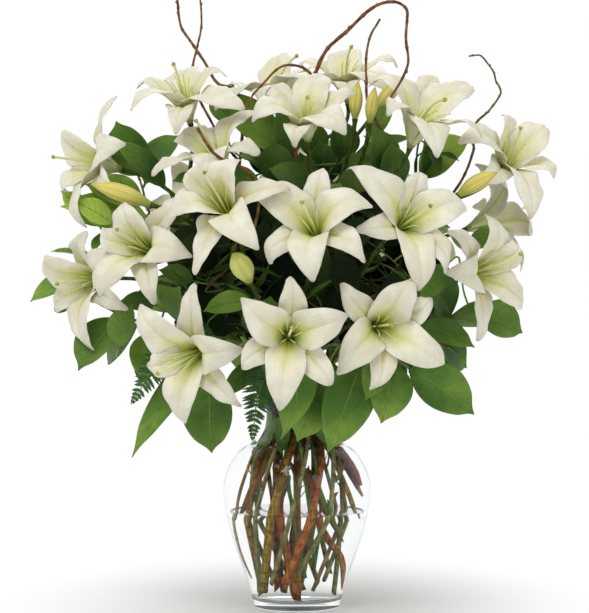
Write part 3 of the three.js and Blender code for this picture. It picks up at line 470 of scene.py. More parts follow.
# The receptacle and the stigma: each height along the axis, and the radius there.
CUP = np.array([(0.1, 2.9), (2, 3.9), (5, 4.5), (9, 4.4), (12, 3.4)])
STIGMA = np.array([(-0.6, 1.5), (0.6, 2.2), (1.8, 2.5), (2.8, 1.8), (3.1, 0.4)])
STALK_RADIUS = 2.5
STALK_SWELL = np.concatenate([np.linspace(1, 0.8, 16), [0.85, 1.0, 1.2, 1.3]])
# Each bloom's stem and how far up its crown it grows, its receptacle, the way it faces, and its tepals: the
# angle and length to each tip as seen from the front, or an even star turned by so many degrees. The stigma
# is where its end is seen, and keep is how much of the unevenness of the tips stays.
BLOOMS = {
    "front_center": dict(
        stem="front", at=0.1, base=(-8, -172, 287), facing=(0, -1, 0),
        seen=[(82, 59), (152, 57), (206, 62), (263, 70), (313, 70), (18, 62)], stigma=(3, 8)),
    "front_left": dict(
        stem="front_left", at=0.1, base=(-92, -130, 272), facing=(-0.42, -0.87, -0.2),
        seen=[(94, 69), (144, 77), (196, 62), (255, 76), (309, 66), (14, 40)], stigma=(-41, -21)),
    "front_right": dict(
        stem="front_right", at=0.1, base=(76, -138, 295), facing=(0.2, -0.97, 0.05),
        seen=[(22, 68), (58, 60), (139, 57), (221, 58), (275, 68), (328, 80)], stigma=(13, 3)),
    "middle_center": dict(
        stem="front", at=0.4, base=(20, -150, 382), facing=(-0.18, -0.88, 0.42),
        seen=[(85, 74), (140, 78), (203, 63), (255, 46), (342, 55), (37, 66)], stigma=(-15, 31)),
    "middle_right": dict(
        stem="front_right", at=0.4, base=(99, -126, 391), facing=(0.37, -0.89, 0.26), keep=0.8,
        seen=[(76, 64), (130, 77), (190, 43), (285, 68), (321, 68), (26, 73)], stigma=(28, 20)),
    "middle_left": dict(
        stem="front_left", at=0.6, base=(-65, -142, 401), facing=(-0.31, -0.78, 0.54),
        seen=[(-3, 50), (73, 54), (142, 40), (200, 50), (244, 63), (277, 44)], stigma=(-23, 41)),
    "left_front": dict(
        stem="left", at=0.4, base=(-144, -80, 368), facing=(-0.46, -0.83, 0.3),
        seen=[(51, 62), (109, 58), (165, 50), (223, 67), (281, 50), (355, 42)], stigma=(-32, 22)),
    "left_low": dict(
        stem="left", at=0.05, base=(-196, -20, 344), facing=(-0.72, -0.66, -0.05),
        seen=[(101, 36), (180, 42), (229, 68), (272, 66), (335, 30), (45, 32)], stigma=(-46, -6)),
    "left_high": dict(
        stem="left", at=0.8, base=(-186, 16, 460), facing=(-0.92, -0.3, 0.2),
        seen=[(90, 63), (140, 48), (196, 40), (242, 62), (310, 26), (40, 26)], stigma=(-66, 10)),
    "top_left": dict(
        stem="left", at=1, base=(-111, -20, 506), facing=(-0.2, -0.4, 0.9),
        seen=[(52, 67), (94, 56), (152, 66), (172, 62), (250, 18), (350, 34)], stigma=(-14, 54)),
    "upper_left": dict(
        stem="front_left", at=1, base=(-76, -62, 447), facing=(-0.3, -0.34, 0.88), keep=0.8,
        seen=[(28, 42), (62, 76), (97, 56), (124, 58), (180, 70), (275, 18)], stigma=(-24, 52)),
    "upper_center": dict(
        stem="front", at=1, base=(11, -82, 482), facing=(-0.1, -0.6, 0.8), keep=0.4,
        seen=[(36, 44), (74, 63), (124, 52), (162, 61), (262, 20), (318, 26)], stigma=(-1, 37)),
    "top_center": dict(
        stem="center", at=0.85, base=(-18, 40, 517), facing=(-0.2, 0, 0.95),
        seen=[(62, 58), (101, 68), (137, 56), (188, 46), (236, 28), (350, 40)], stigma=(17, 60)),
    "top_back": dict(
        stem="center", at=1, base=(56, 98, 538), facing=(-0.1, -0.25, 0.95),
        seen=[(42, 50), (92, 58), (137, 72), (190, 44), (290, 22), (350, 42)], stigma=(2, 54)),
    "upper_right": dict(
        stem="front_right", at=1, base=(116, -46, 478), facing=(0.3, -0.35, 0.88), size=1.12,
        seen=[(8, 74), (52, 88), (72, 84), (96, 74), (130, 44), (310, 22)], stigma=(30, 42)),
    "right_high": dict(
        stem="right", at=1, base=(206, 6, 451), facing=(0.5, -0.5, 0.62),
        seen=[(347, 46), (47, 48), (80, 46), (150, 38), (230, 22), (300, 50)], stigma=(23, 46)),
    "right_back": dict(
        stem="right", at=0.6, base=(182, 50, 398), facing=(0.86, 0.24, 0.32), turn=15),
    "right_low": dict(
        stem="right", at=0.15, base=(166, -56, 348), facing=(0.72, -0.66, 0.1),
        seen=[(108, 48), (205, 20), (272, 60), (325, 76), (12, 46), (64, 70)], stigma=(56, 19)),
    "back_left": dict(
        stem="back", at=0.6, base=(-96, 146, 410), facing=(-0.45, 0.82, 0.3), turn=10),
    "back_center": dict(
        stem="back", at=1, base=(8, 160, 440), facing=(0.05, 0.86, 0.5), turn=0),
    "back_right": dict(
        stem="back", at=0.4, base=(106, 138, 385), facing=(0.5, 0.83, 0.2), turn=25),
    "back_low": dict(
        stem="back", at=0.05, base=(-22, 172, 310), facing=(-0.1, 0.98, 0.1), turn=40),
}


def bezier(points, at):
    """A Bezier curve on three or four points, at shares from 0 to 1."""
    points = np.asarray(points, float)
    t = np.asarray(at, float)[..., None]
    if len(points) == 3:
        return (1 - t) ** 2 * points[0] + 2 * t * (1 - t) * points[1] + t ** 2 * points[2]
    return ((1 - t) ** 3 * points[0] + 3 * t * (1 - t) ** 2 * points[1] + 3 * t ** 2 * (1 - t) * points[2]
            + t ** 3 * points[3])


def grow_stalk(flower, base, facing):
    """Adds a stalk that leaves its stem along it and reaches the flower along the way that it faces."""
    stem = LILY_STEMS[flower["stem"]]
    at = on_crown(stem, flower["at"])
    start = stem_curve(stem, at)
    leaving = unit(stem_curve(stem, min(1, at + 1e-4)) - stem_curve(stem, at - 1e-4))
    gap = np.linalg.norm(base - start)
    bend = bezier([start, start + 0.35 * gap * leaving, base - 0.4 * gap * facing, base - 4 * facing],
                  np.linspace(0, 1, len(STALK_SWELL) - 2))
    route = np.concatenate([bend, [base - 2 * facing, base - 0.1 * facing]])
    stem["parts"].append(tube(route, STALK_RADIUS * STALK_SWELL, tone=stem["tone"]))


def smooth(value, low, high):
    """0 below low, 1 above high and a smooth rise between them."""
    share = np.clip((value - low) / (high - low), 0, 1)
    return share * share * (3 - 2 * share)


def in_depth(facing, seen, reach, height):
    """Points seen from the front, each at the depth where it best meets its reach and its height."""
    depth = np.arange(-SEARCHED_DEPTH, SEARCHED_DEPTH + 1)
    right, up = (np.repeat(np.asarray(seen, float)[:, k:k + 1], len(depth), 1) for k in (0, 1))
    offset = np.stack([right, np.broadcast_to(depth, right.shape), up], -1)
    miss = (np.linalg.norm(offset, axis=-1) - reach) ** 2 + (offset @ facing - height) ** 2
    return offset[np.arange(len(offset)), miss.argmin(1)]


def star(bloom, facing, size):
    """The root direction and the tip of each of the six tepals, anticlockwise from an outer one. A tip is
    put in depth from where it is seen, or is one of an even star. What then stays of the differences
    between the six in height, spread and turn is the share that the bloom keeps."""
    keep = bloom.get("keep", 1)
    up = across(facing, (0, 0, 1))
    right = np.cross(up, facing)
    sixth = np.arange(6) * np.pi / 3

    def around(turn):
        return np.cos(turn)[:, None] * right + np.sin(turn)[:, None] * up

    if "seen" in bloom:
        angle, length = np.array(bloom["seen"], float).T
        angle = np.radians(angle)
        front = np.stack([length * np.cos(angle), length * np.sin(angle)], -1)
        tips = in_depth(facing, front, size * TEPAL_REACH, size * TEPAL_HEIGHT)
    else:
        spread = size * math.sqrt(TEPAL_REACH ** 2 - TEPAL_HEIGHT ** 2)
        tips = spread * around(math.radians(bloom["turn"]) + sixth) + size * TEPAL_HEIGHT * facing
    heights = np.clip(tips @ facing, LOWEST_TIP * size, HIGHEST_TIP * size)
    spreads = np.sqrt(np.maximum((size * LEAST_SPREAD) ** 2, (tips ** 2).sum(1) - heights ** 2))
    turns = np.arctan2(tips @ up, tips @ right) - sixth
    mean = math.atan2(np.sin(turns).sum(), np.cos(turns).sum())
    off = np.arctan2(np.sin(turns - mean), np.cos(turns - mean))
    kept = keep * np.clip(off, -TIP_TURN, TIP_TURN)
    heights = heights.mean() + keep * (heights - heights.mean())
    spreads = spreads.mean() + keep * (spreads - spreads.mean())
    tips = heights[:, None] * facing + spreads[:, None] * around(mean + sixth + kept)
    return around(mean + sixth + 0.5 * kept), tips


def shares(rows, columns):
    """Shares along a blade, from 0 to 1 down a column, and across it, from -1 to 1 in a row."""
    return np.linspace(0, 1, rows)[:, None], np.linspace(-1, 1, columns)[None]


def laid_out(line, side, normal, aside, rise):
    """A grid of points: those of a line, each moved aside and raised along directions of its own."""
    return (line[:, None] + aside[..., None] * np.atleast_2d(side)[:, None]
            + rise[..., None] * np.atleast_2d(normal)[:, None])


def sheet(place, thickness, **values):
    """A thin closed blade: a grid of middle points, moved half its thickness to each side along its
    normal and closed round its rim."""
    rows, columns = place.shape[:2]
    normal = unit(np.cross(np.gradient(place, axis=1), np.gradient(place, axis=0)))
    half = np.broadcast_to(thickness, (rows, columns))[..., None] / 2
    index = np.arange(rows * columns).reshape(rows, columns)
    lower = index + rows * columns
    faces = [
        faces_of(index[:-1, :-1], index[:-1, 1:], index[1:, 1:], index[1:, :-1]),
        faces_of(lower[:-1, :-1], lower[1:, :-1], lower[1:, 1:], lower[:-1, 1:]),
        faces_of(index[:-1, 0], index[1:, 0], lower[1:, 0], lower[:-1, 0]),
        faces_of(lower[:-1, -1], lower[1:, -1], index[1:, -1], index[:-1, -1]),
        faces_of(lower[0, :-1], lower[0, 1:], index[0, 1:], index[0, :-1]),
        faces_of(index[-1, :-1], index[-1, 1:], lower[-1, 1:], lower[-1, :-1]),
    ]
    points = np.concatenate([place + normal * half, place - normal * half]).reshape(-1, 3)
    along = np.tile(np.repeat(np.linspace(0, 1, rows), columns), 2)
    aside = np.tile(np.linspace(-1, 1, columns), 2 * rows)
    upper = np.repeat([1.0, 0.0], rows * columns)
    return {"points": points, "faces": faces,
            "values": {"along": along, "aside": aside, "upper": upper, **values}}


def tepal(base, facing, size, root, tip, inner, draw):
    """The grid of a tepal. Its middle line is a Bezier curve that sways aside near the tip. Its width
    follows a leaned sine, is never less than what closes the funnel, and ends in an elliptic cap. Its
    edges lift near the root, roll back further out, twist and ripple."""
    out = across(facing, tip)
    start = base + 4 * size * facing + (3 if inner else 3.8) * size * root
    rise_by, lean_by = (36, 7) if inner else (31, 13)
    u, v = shares(34, 17)
    middle = bezier([start, start + rise_by * size * facing + lean_by * size * root,
                     base + tip - 22 * size * out + 20 * size * facing, base + tip], u[:, 0])
    tangent = unit(np.gradient(middle, axis=0))
    side = unit(np.cross(root + np.minimum(1, 1.5 * u) * (out - root), facing))
    normal = unit(np.cross(side, tangent))
    offset = middle - base
    radius = np.linalg.norm(offset - (offset @ facing)[:, None] * facing, axis=1)[:, None]
    half = (INNER_WIDTH if inner else OUTER_WIDTH) / 2 * size
    blunt = draw.uniform(0.0, 0.24)
    width = half * np.sin(np.pi * (0.05 + 0.95 * u) ** 0.92) ** (1 - blunt * smooth(u, 0.55, 0.95))
    width = np.maximum(width, 0.66 * radius * (1 - smooth(u, 0.3, 0.62)))
    cap = np.sqrt(1 - np.clip((u - 0.88) / 0.12, 0, 0.97) ** 2)
    width = np.maximum(width, (3.2 + 10 * blunt) * size * cap)
    roll = 0.42 - 0.66 * np.clip(1.9 * u - 0.5, 0, 1)
    layer = (LAYER_GAP if inner else -LAYER_GAP) * smooth(u, 0.27, 0.5)
    groove = -1.1 * size * np.exp(-(v / 0.11) ** 2) * smooth(u, 0.03, 0.2) * (1 - smooth(u, 0.6, 0.97))
    cheeks = 0.075 * width * np.sin(np.pi * np.abs(v)) * smooth(u, 0.15, 0.5)
    phase = draw.uniform(0, 2 * np.pi, 4)
    count = draw.uniform(2.4, 3.6, 2)
    wave = np.where(v > 0, np.sin(2 * np.pi * count[0] * u + phase[0]),
                    np.sin(2 * np.pi * count[1] * u + phase[1]))
    fine = np.where(v > 0, np.sin(15 * np.pi * u + phase[2]), np.sin(13 * np.pi * u + phase[3]))
    ripple = (1.5 * wave + 0.35 * fine) * size * np.abs(v) ** 3.2 * np.sin(np.pi * u) ** 0.8
    curl = draw.uniform(-12, -1) * size * smooth(u, 0.6, 1.05) ** 2
    twist = draw.uniform(-0.5, 0.5) * width * v * smooth(u, 0.45, 1)
    sway = draw.uniform(-11, 11) * size * smooth(u, 0.45, 1.08) ** 1.6
    aside = width * v * (1 + 0.03 * wave * np.abs(v)) + sway
    return laid_out(middle, side, normal, aside,
                    roll * width * v ** 2 + layer + groove + cheeks + ripple + curl + twist)


waxy = Finish("waxy_petal", Roughness=0.48, Specular_IOR_Level=0.25, Subsurface_Weight=0.4,
              Subsurface_Radius=(1.0, 0.92, 0.7), Subsurface_Scale=0.003)
along, aside = waxy.attribute("along"), waxy.attribute("aside")
beside = abs(aside)
mottle = waxy.noise(45.0)
white = waxy.blend(mottle.step(0.35, 0.7), (220, 215, 194), (235, 231, 213))
rib = beside.step(0.3, 0.02) * along.step(0.75, 0.2)
glow = along.step(0.66, 0.16) * beside.step(1.0, 0.1)
throat = along.step(0.36, 0.12) * beside.step(1.0, 0.3)
face_up = waxy.layered(
    white,
    (glow * 0.8, (236, 232, 160)),
    (rib * 0.5, (206, 206, 112)),
    (throat * 0.85, (190, 198, 84)),
    (along.step(0.3, 0.12) * (aside * 17).wave() * 0.6, (158, 176, 80)),
    (along.step(0.15, 0.04), (126, 152, 62)))
behind = waxy.layered(
    white,
    (along.step(0.5, 0.05) * 0.7, (218, 220, 146)),
    (beside.step(0.2, 0.03) * along.step(1.0, 0.4) * 0.75, (196, 204, 112)))
waxy.drive("Base Color", waxy.blend(waxy.attribute("upper"), behind, face_up))
petal_veins = (aside * 46 + mottle * 1.2).wave() * beside.step(1.0, 0.7) * along.step(0.0, 0.25)
waxy.relief(petal_veins * 0.6 + waxy.noise(700.0, 2.0) * 0.25, 0.00035)

style_skin = Finish("lily_style", Roughness=0.4, Subsurface_Weight=0.1, Subsurface_Scale=0.002)
knob = style_skin.blend(style_skin.noise(500.0, 2.0).step(0.4, 0.65), (176, 178, 70), (138, 112, 46))
style_skin.drive("Base Color", style_skin.layered(
    style_skin.blend(style_skin.attribute("along").step(0.1, 0.8), (196, 208, 120), (222, 228, 170)),
    (style_skin.attribute("tip"), knob),
    (style_skin.attribute("stalk_end"), (142, 160, 68))))
style_skin.relief(style_skin.noise(900.0, 2.0), 0.0003)


def heart(base, facing, size, bloom, draw):
    """The style with its three-lobed stigma, and six filaments that lean out round it."""
    length = PISTIL_LENGTH * size
    end = length * facing
    if "stigma" in bloom:
        end = in_depth(facing, [bloom["stigma"]], length, length)[0]
    share = np.linspace(0, 1, 22)
    line = bezier([base + 5 * size * facing, base + 0.6 * length * facing, base + end], share)
    radius = (1.6 - 0.35 * smooth(share, 0, 0.6) + 0.4 * smooth(share, 0.85, 1)) * size
    crest = base + end + unit(line[-1] - line[-2]) * STIGMA[:, :1]
    parts = [tube(line, radius),
             tube(base + facing * CUP[:, :1] * size, CUP[:, 1] * size, 18, stalk_end=1.0),
             tube(crest, STIGMA[:, 1] * size, 24, tip=1.0,
                  lobes=lambda angle: 1 - 0.26 * (0.5 - 0.5 * np.cos(3 * angle)))]
    up = across(facing, (0, 0, 1))
    right = np.cross(up, facing)
    start_turn = draw.uniform(0, 2 * np.pi)
    share = np.linspace(0, 1, FILAMENT_POINTS)
    for k in range(6):
        turn = start_turn + k * np.pi / 3 + draw.uniform(-0.12, 0.12)
        out = np.cos(turn) * right + np.sin(turn) * up
        reach = draw.uniform(0.66, 0.8)
        top = base + end * reach + out * draw.uniform(9, 15) * size
        path = bezier([base + 7 * size * facing + 3.2 * size * out,
                       base + 0.45 * length * facing + 5 * size * out, top], share)
        parts.append(tube(path, np.linspace(0.85, 0.4, FILAMENT_POINTS) * size, 7,
                          tip=np.repeat(smooth(share, 0.93, 1.0) * 0.8, 7)))
    return parts


petal_parts = []
for number, (name, bloom) in enumerate(BLOOMS.items()):
    draw = np.random.default_rng(100 + number)
    base = np.array(bloom["base"], float)
    facing = unit(bloom["facing"])
    size = bloom.get("size", 1)
    grow_stalk(bloom, base, facing)
    parts = []
    for k, (root, tip) in enumerate(zip(*star(bloom, facing, size))):
        grid = tepal(base, facing, size, root, tip, k % 2 == 1, draw)
        thin = 0.95 - 0.5 * np.abs(np.linspace(-1, 1, grid.shape[1])) ** 3
        parts.append(sheet(grid, thin[None], tone=draw.uniform()))
    petal_parts += parts
    make(f"lily_bloom_{name}", parts, waxy, "petal", f"bloom_{name}")
    make(f"style_of_bloom_{name}", heart(base, facing, size, bloom, draw), style_skin, "petal")

# Buds: the six tepals still closed round each other in a spindle with shallow seams, green at both ends
# and cream to ochre between them, the riper the more ochre. Each ends a stalk of its stem.
BUDS = {
    "left": dict(stem="left", at=0.7, base=(-148, -86, 418), tip=(-207, -96, 438), radius=8.64, ripe=0.75),
    "front": dict(stem="front_left", at=0.15, base=(-47, -140, 340), tip=(-62, -174, 366), radius=10.88,
                  ripe=0.0),
    "right": dict(stem="right", at=0.8, base=(162, -100, 427), tip=(200, -108, 449), radius=8.1, ripe=0.9),
    "top_left": dict(stem="center", at=0.5, base=(60, -34, 509), tip=(63, -40, 547), radius=7.02,
                     ripe=0.65),
    "top_middle": dict(stem="center", at=0.3, base=(75, -44, 504), tip=(80, -52, 540), radius=6.48,
                       ripe=0.65),
    "top_right": dict(stem="center", at=0.65, base=(84, 22, 522), tip=(113, 28, 558), radius=8.1,
                      ripe=0.65),
}
# The outline of a bud: its share of the length and of the greatest radius.
SPINDLE = [[0, 0.36], [0.1, 0.68], [0.3, 0.94], [0.5, 1], [0.7, 0.9], [0.88, 0.55], [1, 0.1]]
BUD_SIDES = 48
bud_skin = Finish("bud_skin", Roughness=0.45, Specular_IOR_Level=0.3, Subsurface_Weight=0.1,
                  Subsurface_Scale=0.003)
bud_along = bud_skin.attribute("along")
bud_ripe = bud_skin.attribute("tone")
bud_streaks = bud_skin.attribute("streak") + bud_skin.noise(160.0) * 0.4
bud_skin.drive("Base Color", bud_skin.layered(
    bud_skin.blend(bud_ripe, (230, 232, 124), (208, 186, 84)),
    (bud_streaks.step(0.3, 1.1) * 0.4, (228, 226, 150)),
    (bud_skin.attribute("around").step(0.98, 0.9) * (0.2 + bud_ripe * 0.35), (168, 154, 54)),
    (bud_along.step(0.4, 0.02) * 0.8, (140, 162, 62)),
    (bud_along.step(0.8, 1.0) * 0.7, (156, 168, 70))))
bud_skin.relief(bud_skin.noise(400.0), 0.0003)


def seams(angle):
    """A bud's section: a circle with a narrow dip at each of three seams and a shallower one between."""
    return 1 - 0.12 * np.abs(np.cos(1.5 * angle)) ** 14 - 0.07 * np.abs(np.sin(1.5 * angle)) ** 18


for name, bud in BUDS.items():
    base, tip = np.array(bud["base"], float), np.array(bud["tip"], float)
    grow_stalk(bud, base, unit(tip - base))
    share = np.linspace(0, 1, 40)
    bend = across(unit(tip - base), (0, 0, 1)) * 1.5
    line = base + share[:, None] * (tip - base) + np.sin(np.pi * share)[:, None] * bend
    streak = 0.5 + 0.5 * np.sin(17 * np.linspace(0, 2 * np.pi, BUD_SIDES, endpoint=False))
    spindle = tube(line, bud["radius"] * spline(SPINDLE, share)[:, 1], BUD_SIDES, lobes=seams,
                   tone=bud["ripe"], streak=np.tile(streak, len(share)))
    make(f"closed_bud_{name}", [spindle], bud_skin, "bud", f"bud_{name}")

# Salal sprays: each is a woody stem with leathery oval leaves on short stalks, folded a little along the
# rib. A leaf sits where its CAD solid was settled, found again by its tip. Each leaf has its place on the
# crown, its tip and width, and some have a tone and a sideways bow of their own.
CROWN_CENTER = np.array([0, 0, 300.0])
SWINGS = 48
SWING_RING = 6
SWING_ANGLE = 7
SWING_LOSS = 0.015
TIP_TOLERANCE = 1.3
LEAF_THICKNESS = 0.55
LIT_FROM_FRONT = 75
SALAL_SPRAYS = {
    "left_low": dict(
        neck=(204, OUTER_RING), foot=30, radius=2.6,
        crown=[(-44, -16, 266), (-104, -30, 290), (-165, -34, 300), (-222, -22, 326)],
        leaves=[(1, (-282, -14, 322), 40, 0.5), (0.76, (-230, -48, 250), 46), (0.52, (-172, -78, 238), 44),
                (0.4, (-126, -86, 330), 52), (0.2, (-168, -92, 164), 30), (0.64, (-200, 34, 258), 46)]),
    "left_high": dict(
        neck=(180, OUTER_RING), foot=36, radius=2.4,
        crown=[(-42, 2, 266), (-98, 16, 335), (-150, 30, 400), (-168, 42, 450)],
        leaves=[(1, (-192, 34, 512), 46), (0.8, (-226, 34, 446), 40, 0.95),
                (0.64, (-252, 30, 436), 44, 1.1), (0.48, (-212, 54, 376), 46), (0.94, (-122, 30, 498), 50),
                (0.24, (-180, 70, 330), 46)]),
    "top": dict(
        neck=(132, OUTER_RING), foot=24, radius=2.5,
        crown=[(-30, 32, 266), (-28, 50, 340), (-22, 54, 420), (-14, 52, 470)],
        leaves=[(1, (-90, 40, 556), 50), (0.84, (44, -6, 508), 46), (0.72, (-60, -6, 476), 50),
                (0.56, (40, -22, 440), 48), (0.44, (-84, 10, 430), 46), (0.2, (46, 6, 352), 48)]),
    "top_right": dict(
        neck=(36, OUTER_RING), foot=33, radius=2.4,
        crown=[(34, 28, 266), (80, 44, 335), (112, 46, 400), (128, 46, 450)],
        leaves=[(1, (186, 30, 492), 46, 0.95), (0.84, (66, -14, 490), 50), (0.68, (204, 44, 402), 46, 0.45),
                (0.52, (62, -10, 392), 50), (0.4, (164, 90, 380), 46), (0.8, (116, 112, 470), 46),
                (0.92, (132, 0, 505), 40)]),
    "right": dict(
        neck=(348, OUTER_RING), foot=40, radius=2.6,
        crown=[(46, -8, 266), (100, -26, 288), (146, -32, 300), (182, -22, 308)],
        leaves=[(1, (236, -18, 288), 44), (0.72, (190, -70, 292), 52), (0.8, (132, -66, 356), 48),
                (0.52, (176, 24, 250), 46), (0.36, (150, 40, 340), 46), (0.28, (96, -40, 352), 46)]),
    "front_left": dict(
        neck=(252, OUTER_RING), foot=18, radius=2.5,
        crown=[(-15, -45, 268), (-38, -76, 282), (-62, -100, 272), (-86, -108, 246)],
        leaves=[(1, (-86, -114, 168), 50, 0.3), (0.48, (-20, -98, 178), 46, 0.2, -64),
                (0.6, (-98, -112, 316), 44), (0.28, (-44, -84, 356), 48)]),
    "front_right": dict(
        neck=(300, OUTER_RING), foot=28, radius=2.5,
        crown=[(24, -40, 268), (48, -74, 276), (84, -90, 270), (108, -86, 256)],
        leaves=[(1, (178, -86, 206), 48, 0.15), (0.52, (30, -104, 170), 50, 0.2),
                (0.84, (84, -108, 198), 44, 0.2), (0.68, (68, -122, 222), 30, 0.2),
                (0.32, (44, -96, 350), 48)]),
    "back_left": dict(
        neck=(108, OUTER_RING), foot=38, radius=2.5,
        crown=[(-14, 46, 266), (-46, 88, 300), (-86, 112, 330)],
        leaves=[(1, (-150, 130, 350), 48), (0.68, (-130, 120, 260), 46), (0.52, (-60, 160, 236), 46),
                (0.36, (-100, 70, 400), 48), (0.8, (-60, 130, 400), 46)]),
    "back_right": dict(
        neck=(72, OUTER_RING), foot=16, radius=2.5,
        crown=[(14, 46, 266), (52, 86, 296), (96, 106, 310)],
        leaves=[(1, (164, 128, 310), 48), (0.68, (120, 120, 236), 46), (0.52, (40, 164, 250), 46),
                (0.36, (60, 130, 370), 46), (0.84, (130, 84, 380), 46)]),
}


def node_points(name):
    """The corners of a CAD node in millimetres."""
    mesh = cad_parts[name].data
    corners = np.empty(len(mesh.vertices) * 3)
    mesh.vertices.foreach_get("co", corners)
    return corners.reshape(-1, 3) / MILLIMETRE


def swung(root, tip, face, side, swing):
    """A leaf's tip after so many tries: it swings round its root in widening rings of six, and the leaf
    gets a little shorter with each."""
    if swing == 0:
        return tip
    ring = math.ceil(swing / SWING_RING)
    turn = 2 * math.pi * swing / SWING_RING + ring
    length = np.linalg.norm(tip - root)
    reach = length * math.tan(math.radians(SWING_ANGLE * ring))
    way = tip + side * reach * math.cos(turn) + face * reach * math.sin(turn) - root
    return root + unit(way) * length * (1 - SWING_LOSS * swing)


def settled_tip(root, tip, face, side, corners):
    """The swing whose tip is a corner of the CAD node, or nothing where the leaf found no room."""
    tries = np.array([swung(root, tip, face, side, swing) for swing in range(SWINGS)])
    miss = np.linalg.norm(tries[:, None] - corners[None], axis=-1).min(1)
    return tries[miss.argmin()] if miss.min() < TIP_TOLERANCE else None


def leaf_frame(root, tip):
    """The way a broad leaf faces and its sideways direction: outwards from the crown and to the light."""
    way = unit(tip - root)
    outward = unit((root + tip) / 2 - CROWN_CENTER)
    light = np.array([0, -1, 0.5]) if tip[1] < LIT_FROM_FRONT else np.array([0, 0.4, 0.4])
    face = across(way, 0.7 * outward + light)
    return face, np.cross(way, face)


def broad_leaf(root, tip, width, face, side, draw, rows=26, columns=15, bow=0, **values):
    """An oval blade on an arched middle line, which may also bow sideways. The half width is a sine to
    a power; the blade is folded along its rib, quilted between its side veins and waved at its edge."""
    length = np.linalg.norm(tip - root)
    u, v = shares(rows, columns)
    middle = root + 0.55 * (tip - root) + 0.16 * length * face + bow * side
    line = bezier([root, middle, tip], u[:, 0])
    breadth = across(unit(tip - root), side)
    normal = unit(np.cross(breadth, np.gradient(line, axis=0)))
    oval = 1.04 * np.sin(np.pi * np.maximum(0, (u - 0.08) / 0.92) ** 0.8) ** 0.85
    oval = oval * (1 - 0.45 * smooth(u, 0.8, 0.97))
    half = np.maximum(np.where(u > 0.9, 0.35, 0.9), width / 2 * oval)
    phase = draw.uniform(0, 2 * np.pi, 2)
    wave = np.where(v > 0, np.sin(9 * u + phase[0]), np.sin(8 * u + phase[1]))
    quilt = np.sin(2 * np.pi * (7 * u - 1.5 * np.abs(v))) * np.sin(np.pi * np.abs(v)) * np.sin(np.pi * u)
    rise = 0.28 * half * v ** 2 + 0.9 * wave * np.abs(v) ** 3 * np.sin(np.pi * u) + 0.35 * quilt
    rise = rise - 0.6 * np.exp(-(v / 0.08) ** 2) * smooth(u, 0.1, 0.3) * (1 - smooth(u, 0.7, 1))
    curl = 0.05 * length * np.sin(phase[0]) * u ** 3
    return sheet(laid_out(line, breadth, normal, half * v, rise + curl), LEAF_THICKNESS, **values)


leathery = Finish("salal_leaf", Roughness=0.42, Specular_IOR_Level=0.13)
leaf_along = leathery.attribute("along")
leaf_aside = abs(leathery.attribute("aside"))
leaf_tone = leathery.attribute("tone")
painted_leaf_shade = leathery.attribute("shade")
patches = leathery.noise(22.0, 4.0)
dark = leathery.blend(patches.step(0.35, 0.7), (44, 88, 34), (88, 132, 52))
light_green = leathery.blend(patches.step(0.35, 0.7), (126, 166, 62), (172, 206, 90))
slanted = leaf_along * 7 - leaf_aside * 1.5 + patches * 0.4
side_veins = abs(slanted.math("FRACT") - 0.5).step(0.07, 0.01) * leaf_aside.step(1.0, 0.75)
mesh_veins = leathery.node("ShaderNodeTexVoronoi", {"feature": "DISTANCE_TO_EDGE"}, Scale=420.0,
                           Vector=leathery.place()).step(0.12, 0.0)
midrib = leaf_aside.step(0.045, 0.01)
# Each leaf's colour runs lighter towards its tip. This is partly the leaf's own colour and partly painted
# light, with painted shade near the stalk.
upper_side = leathery.layered(
    leathery.blend(leaf_tone + leaf_along.step(0.35, 1.0) * 0.35, dark, light_green),
    (side_veins * 0.22, (132, 164, 84)),
    (mesh_veins * 0.12, (132, 164, 84)),
    (leaf_tone.step(0.85, 1.05) * 0.8, (176, 206, 88)),
    (leathery.noise(9.0).step(0.35, 0.65) * 0.35 * leaf_tone.step(1.0, 0.6), (30, 60, 28)),
    (midrib * 0.45, (150, 180, 92)),
    (leathery.noise(60.0, 2.0).step(0.7, 0.76) * 0.4, (110, 100, 44)))
# Leaves deep in the bunch, in the neck and among the stems are blended towards near black: a painted shade
# that stands in for the shade there. The same value makes them rougher.
leathery.drive("Base Color", leathery.layered(
    leathery.blend(midrib * 0.6, (108, 146, 62), (164, 190, 100)),
    (leathery.attribute("upper"), upper_side),
    (painted_leaf_shade, (3, 7, 4))))
leathery.drive("Roughness", patches * 0.2 + 0.36 + painted_leaf_shade * 0.4)
leathery.relief(1 - side_veins * 0.6 - midrib - mesh_veins * 0.25, 0.0007)

bark = Finish("twig_bark", Roughness=0.65, Specular_IOR_Level=0.12)
grain = bark.noise(160.0, 5.0, 0.5)
spots = bark.node("ShaderNodeTexVoronoi", None, Scale=260.0, Vector=bark.place()).step(0.16, 0.08)
brown = bark.blend(grain.step(0.3, 0.7), (70, 42, 26), (136, 92, 58))
greenish = bark.blend(grain.step(0.3, 0.7), (96, 108, 60), (148, 154, 94))
bark.drive("Base Color", bark.layered(
    brown, (bark.attribute("tone"), greenish), (spots * 0.35, (170, 140, 104))))
bark.relief(grain + spots * 0.5, 0.0009)

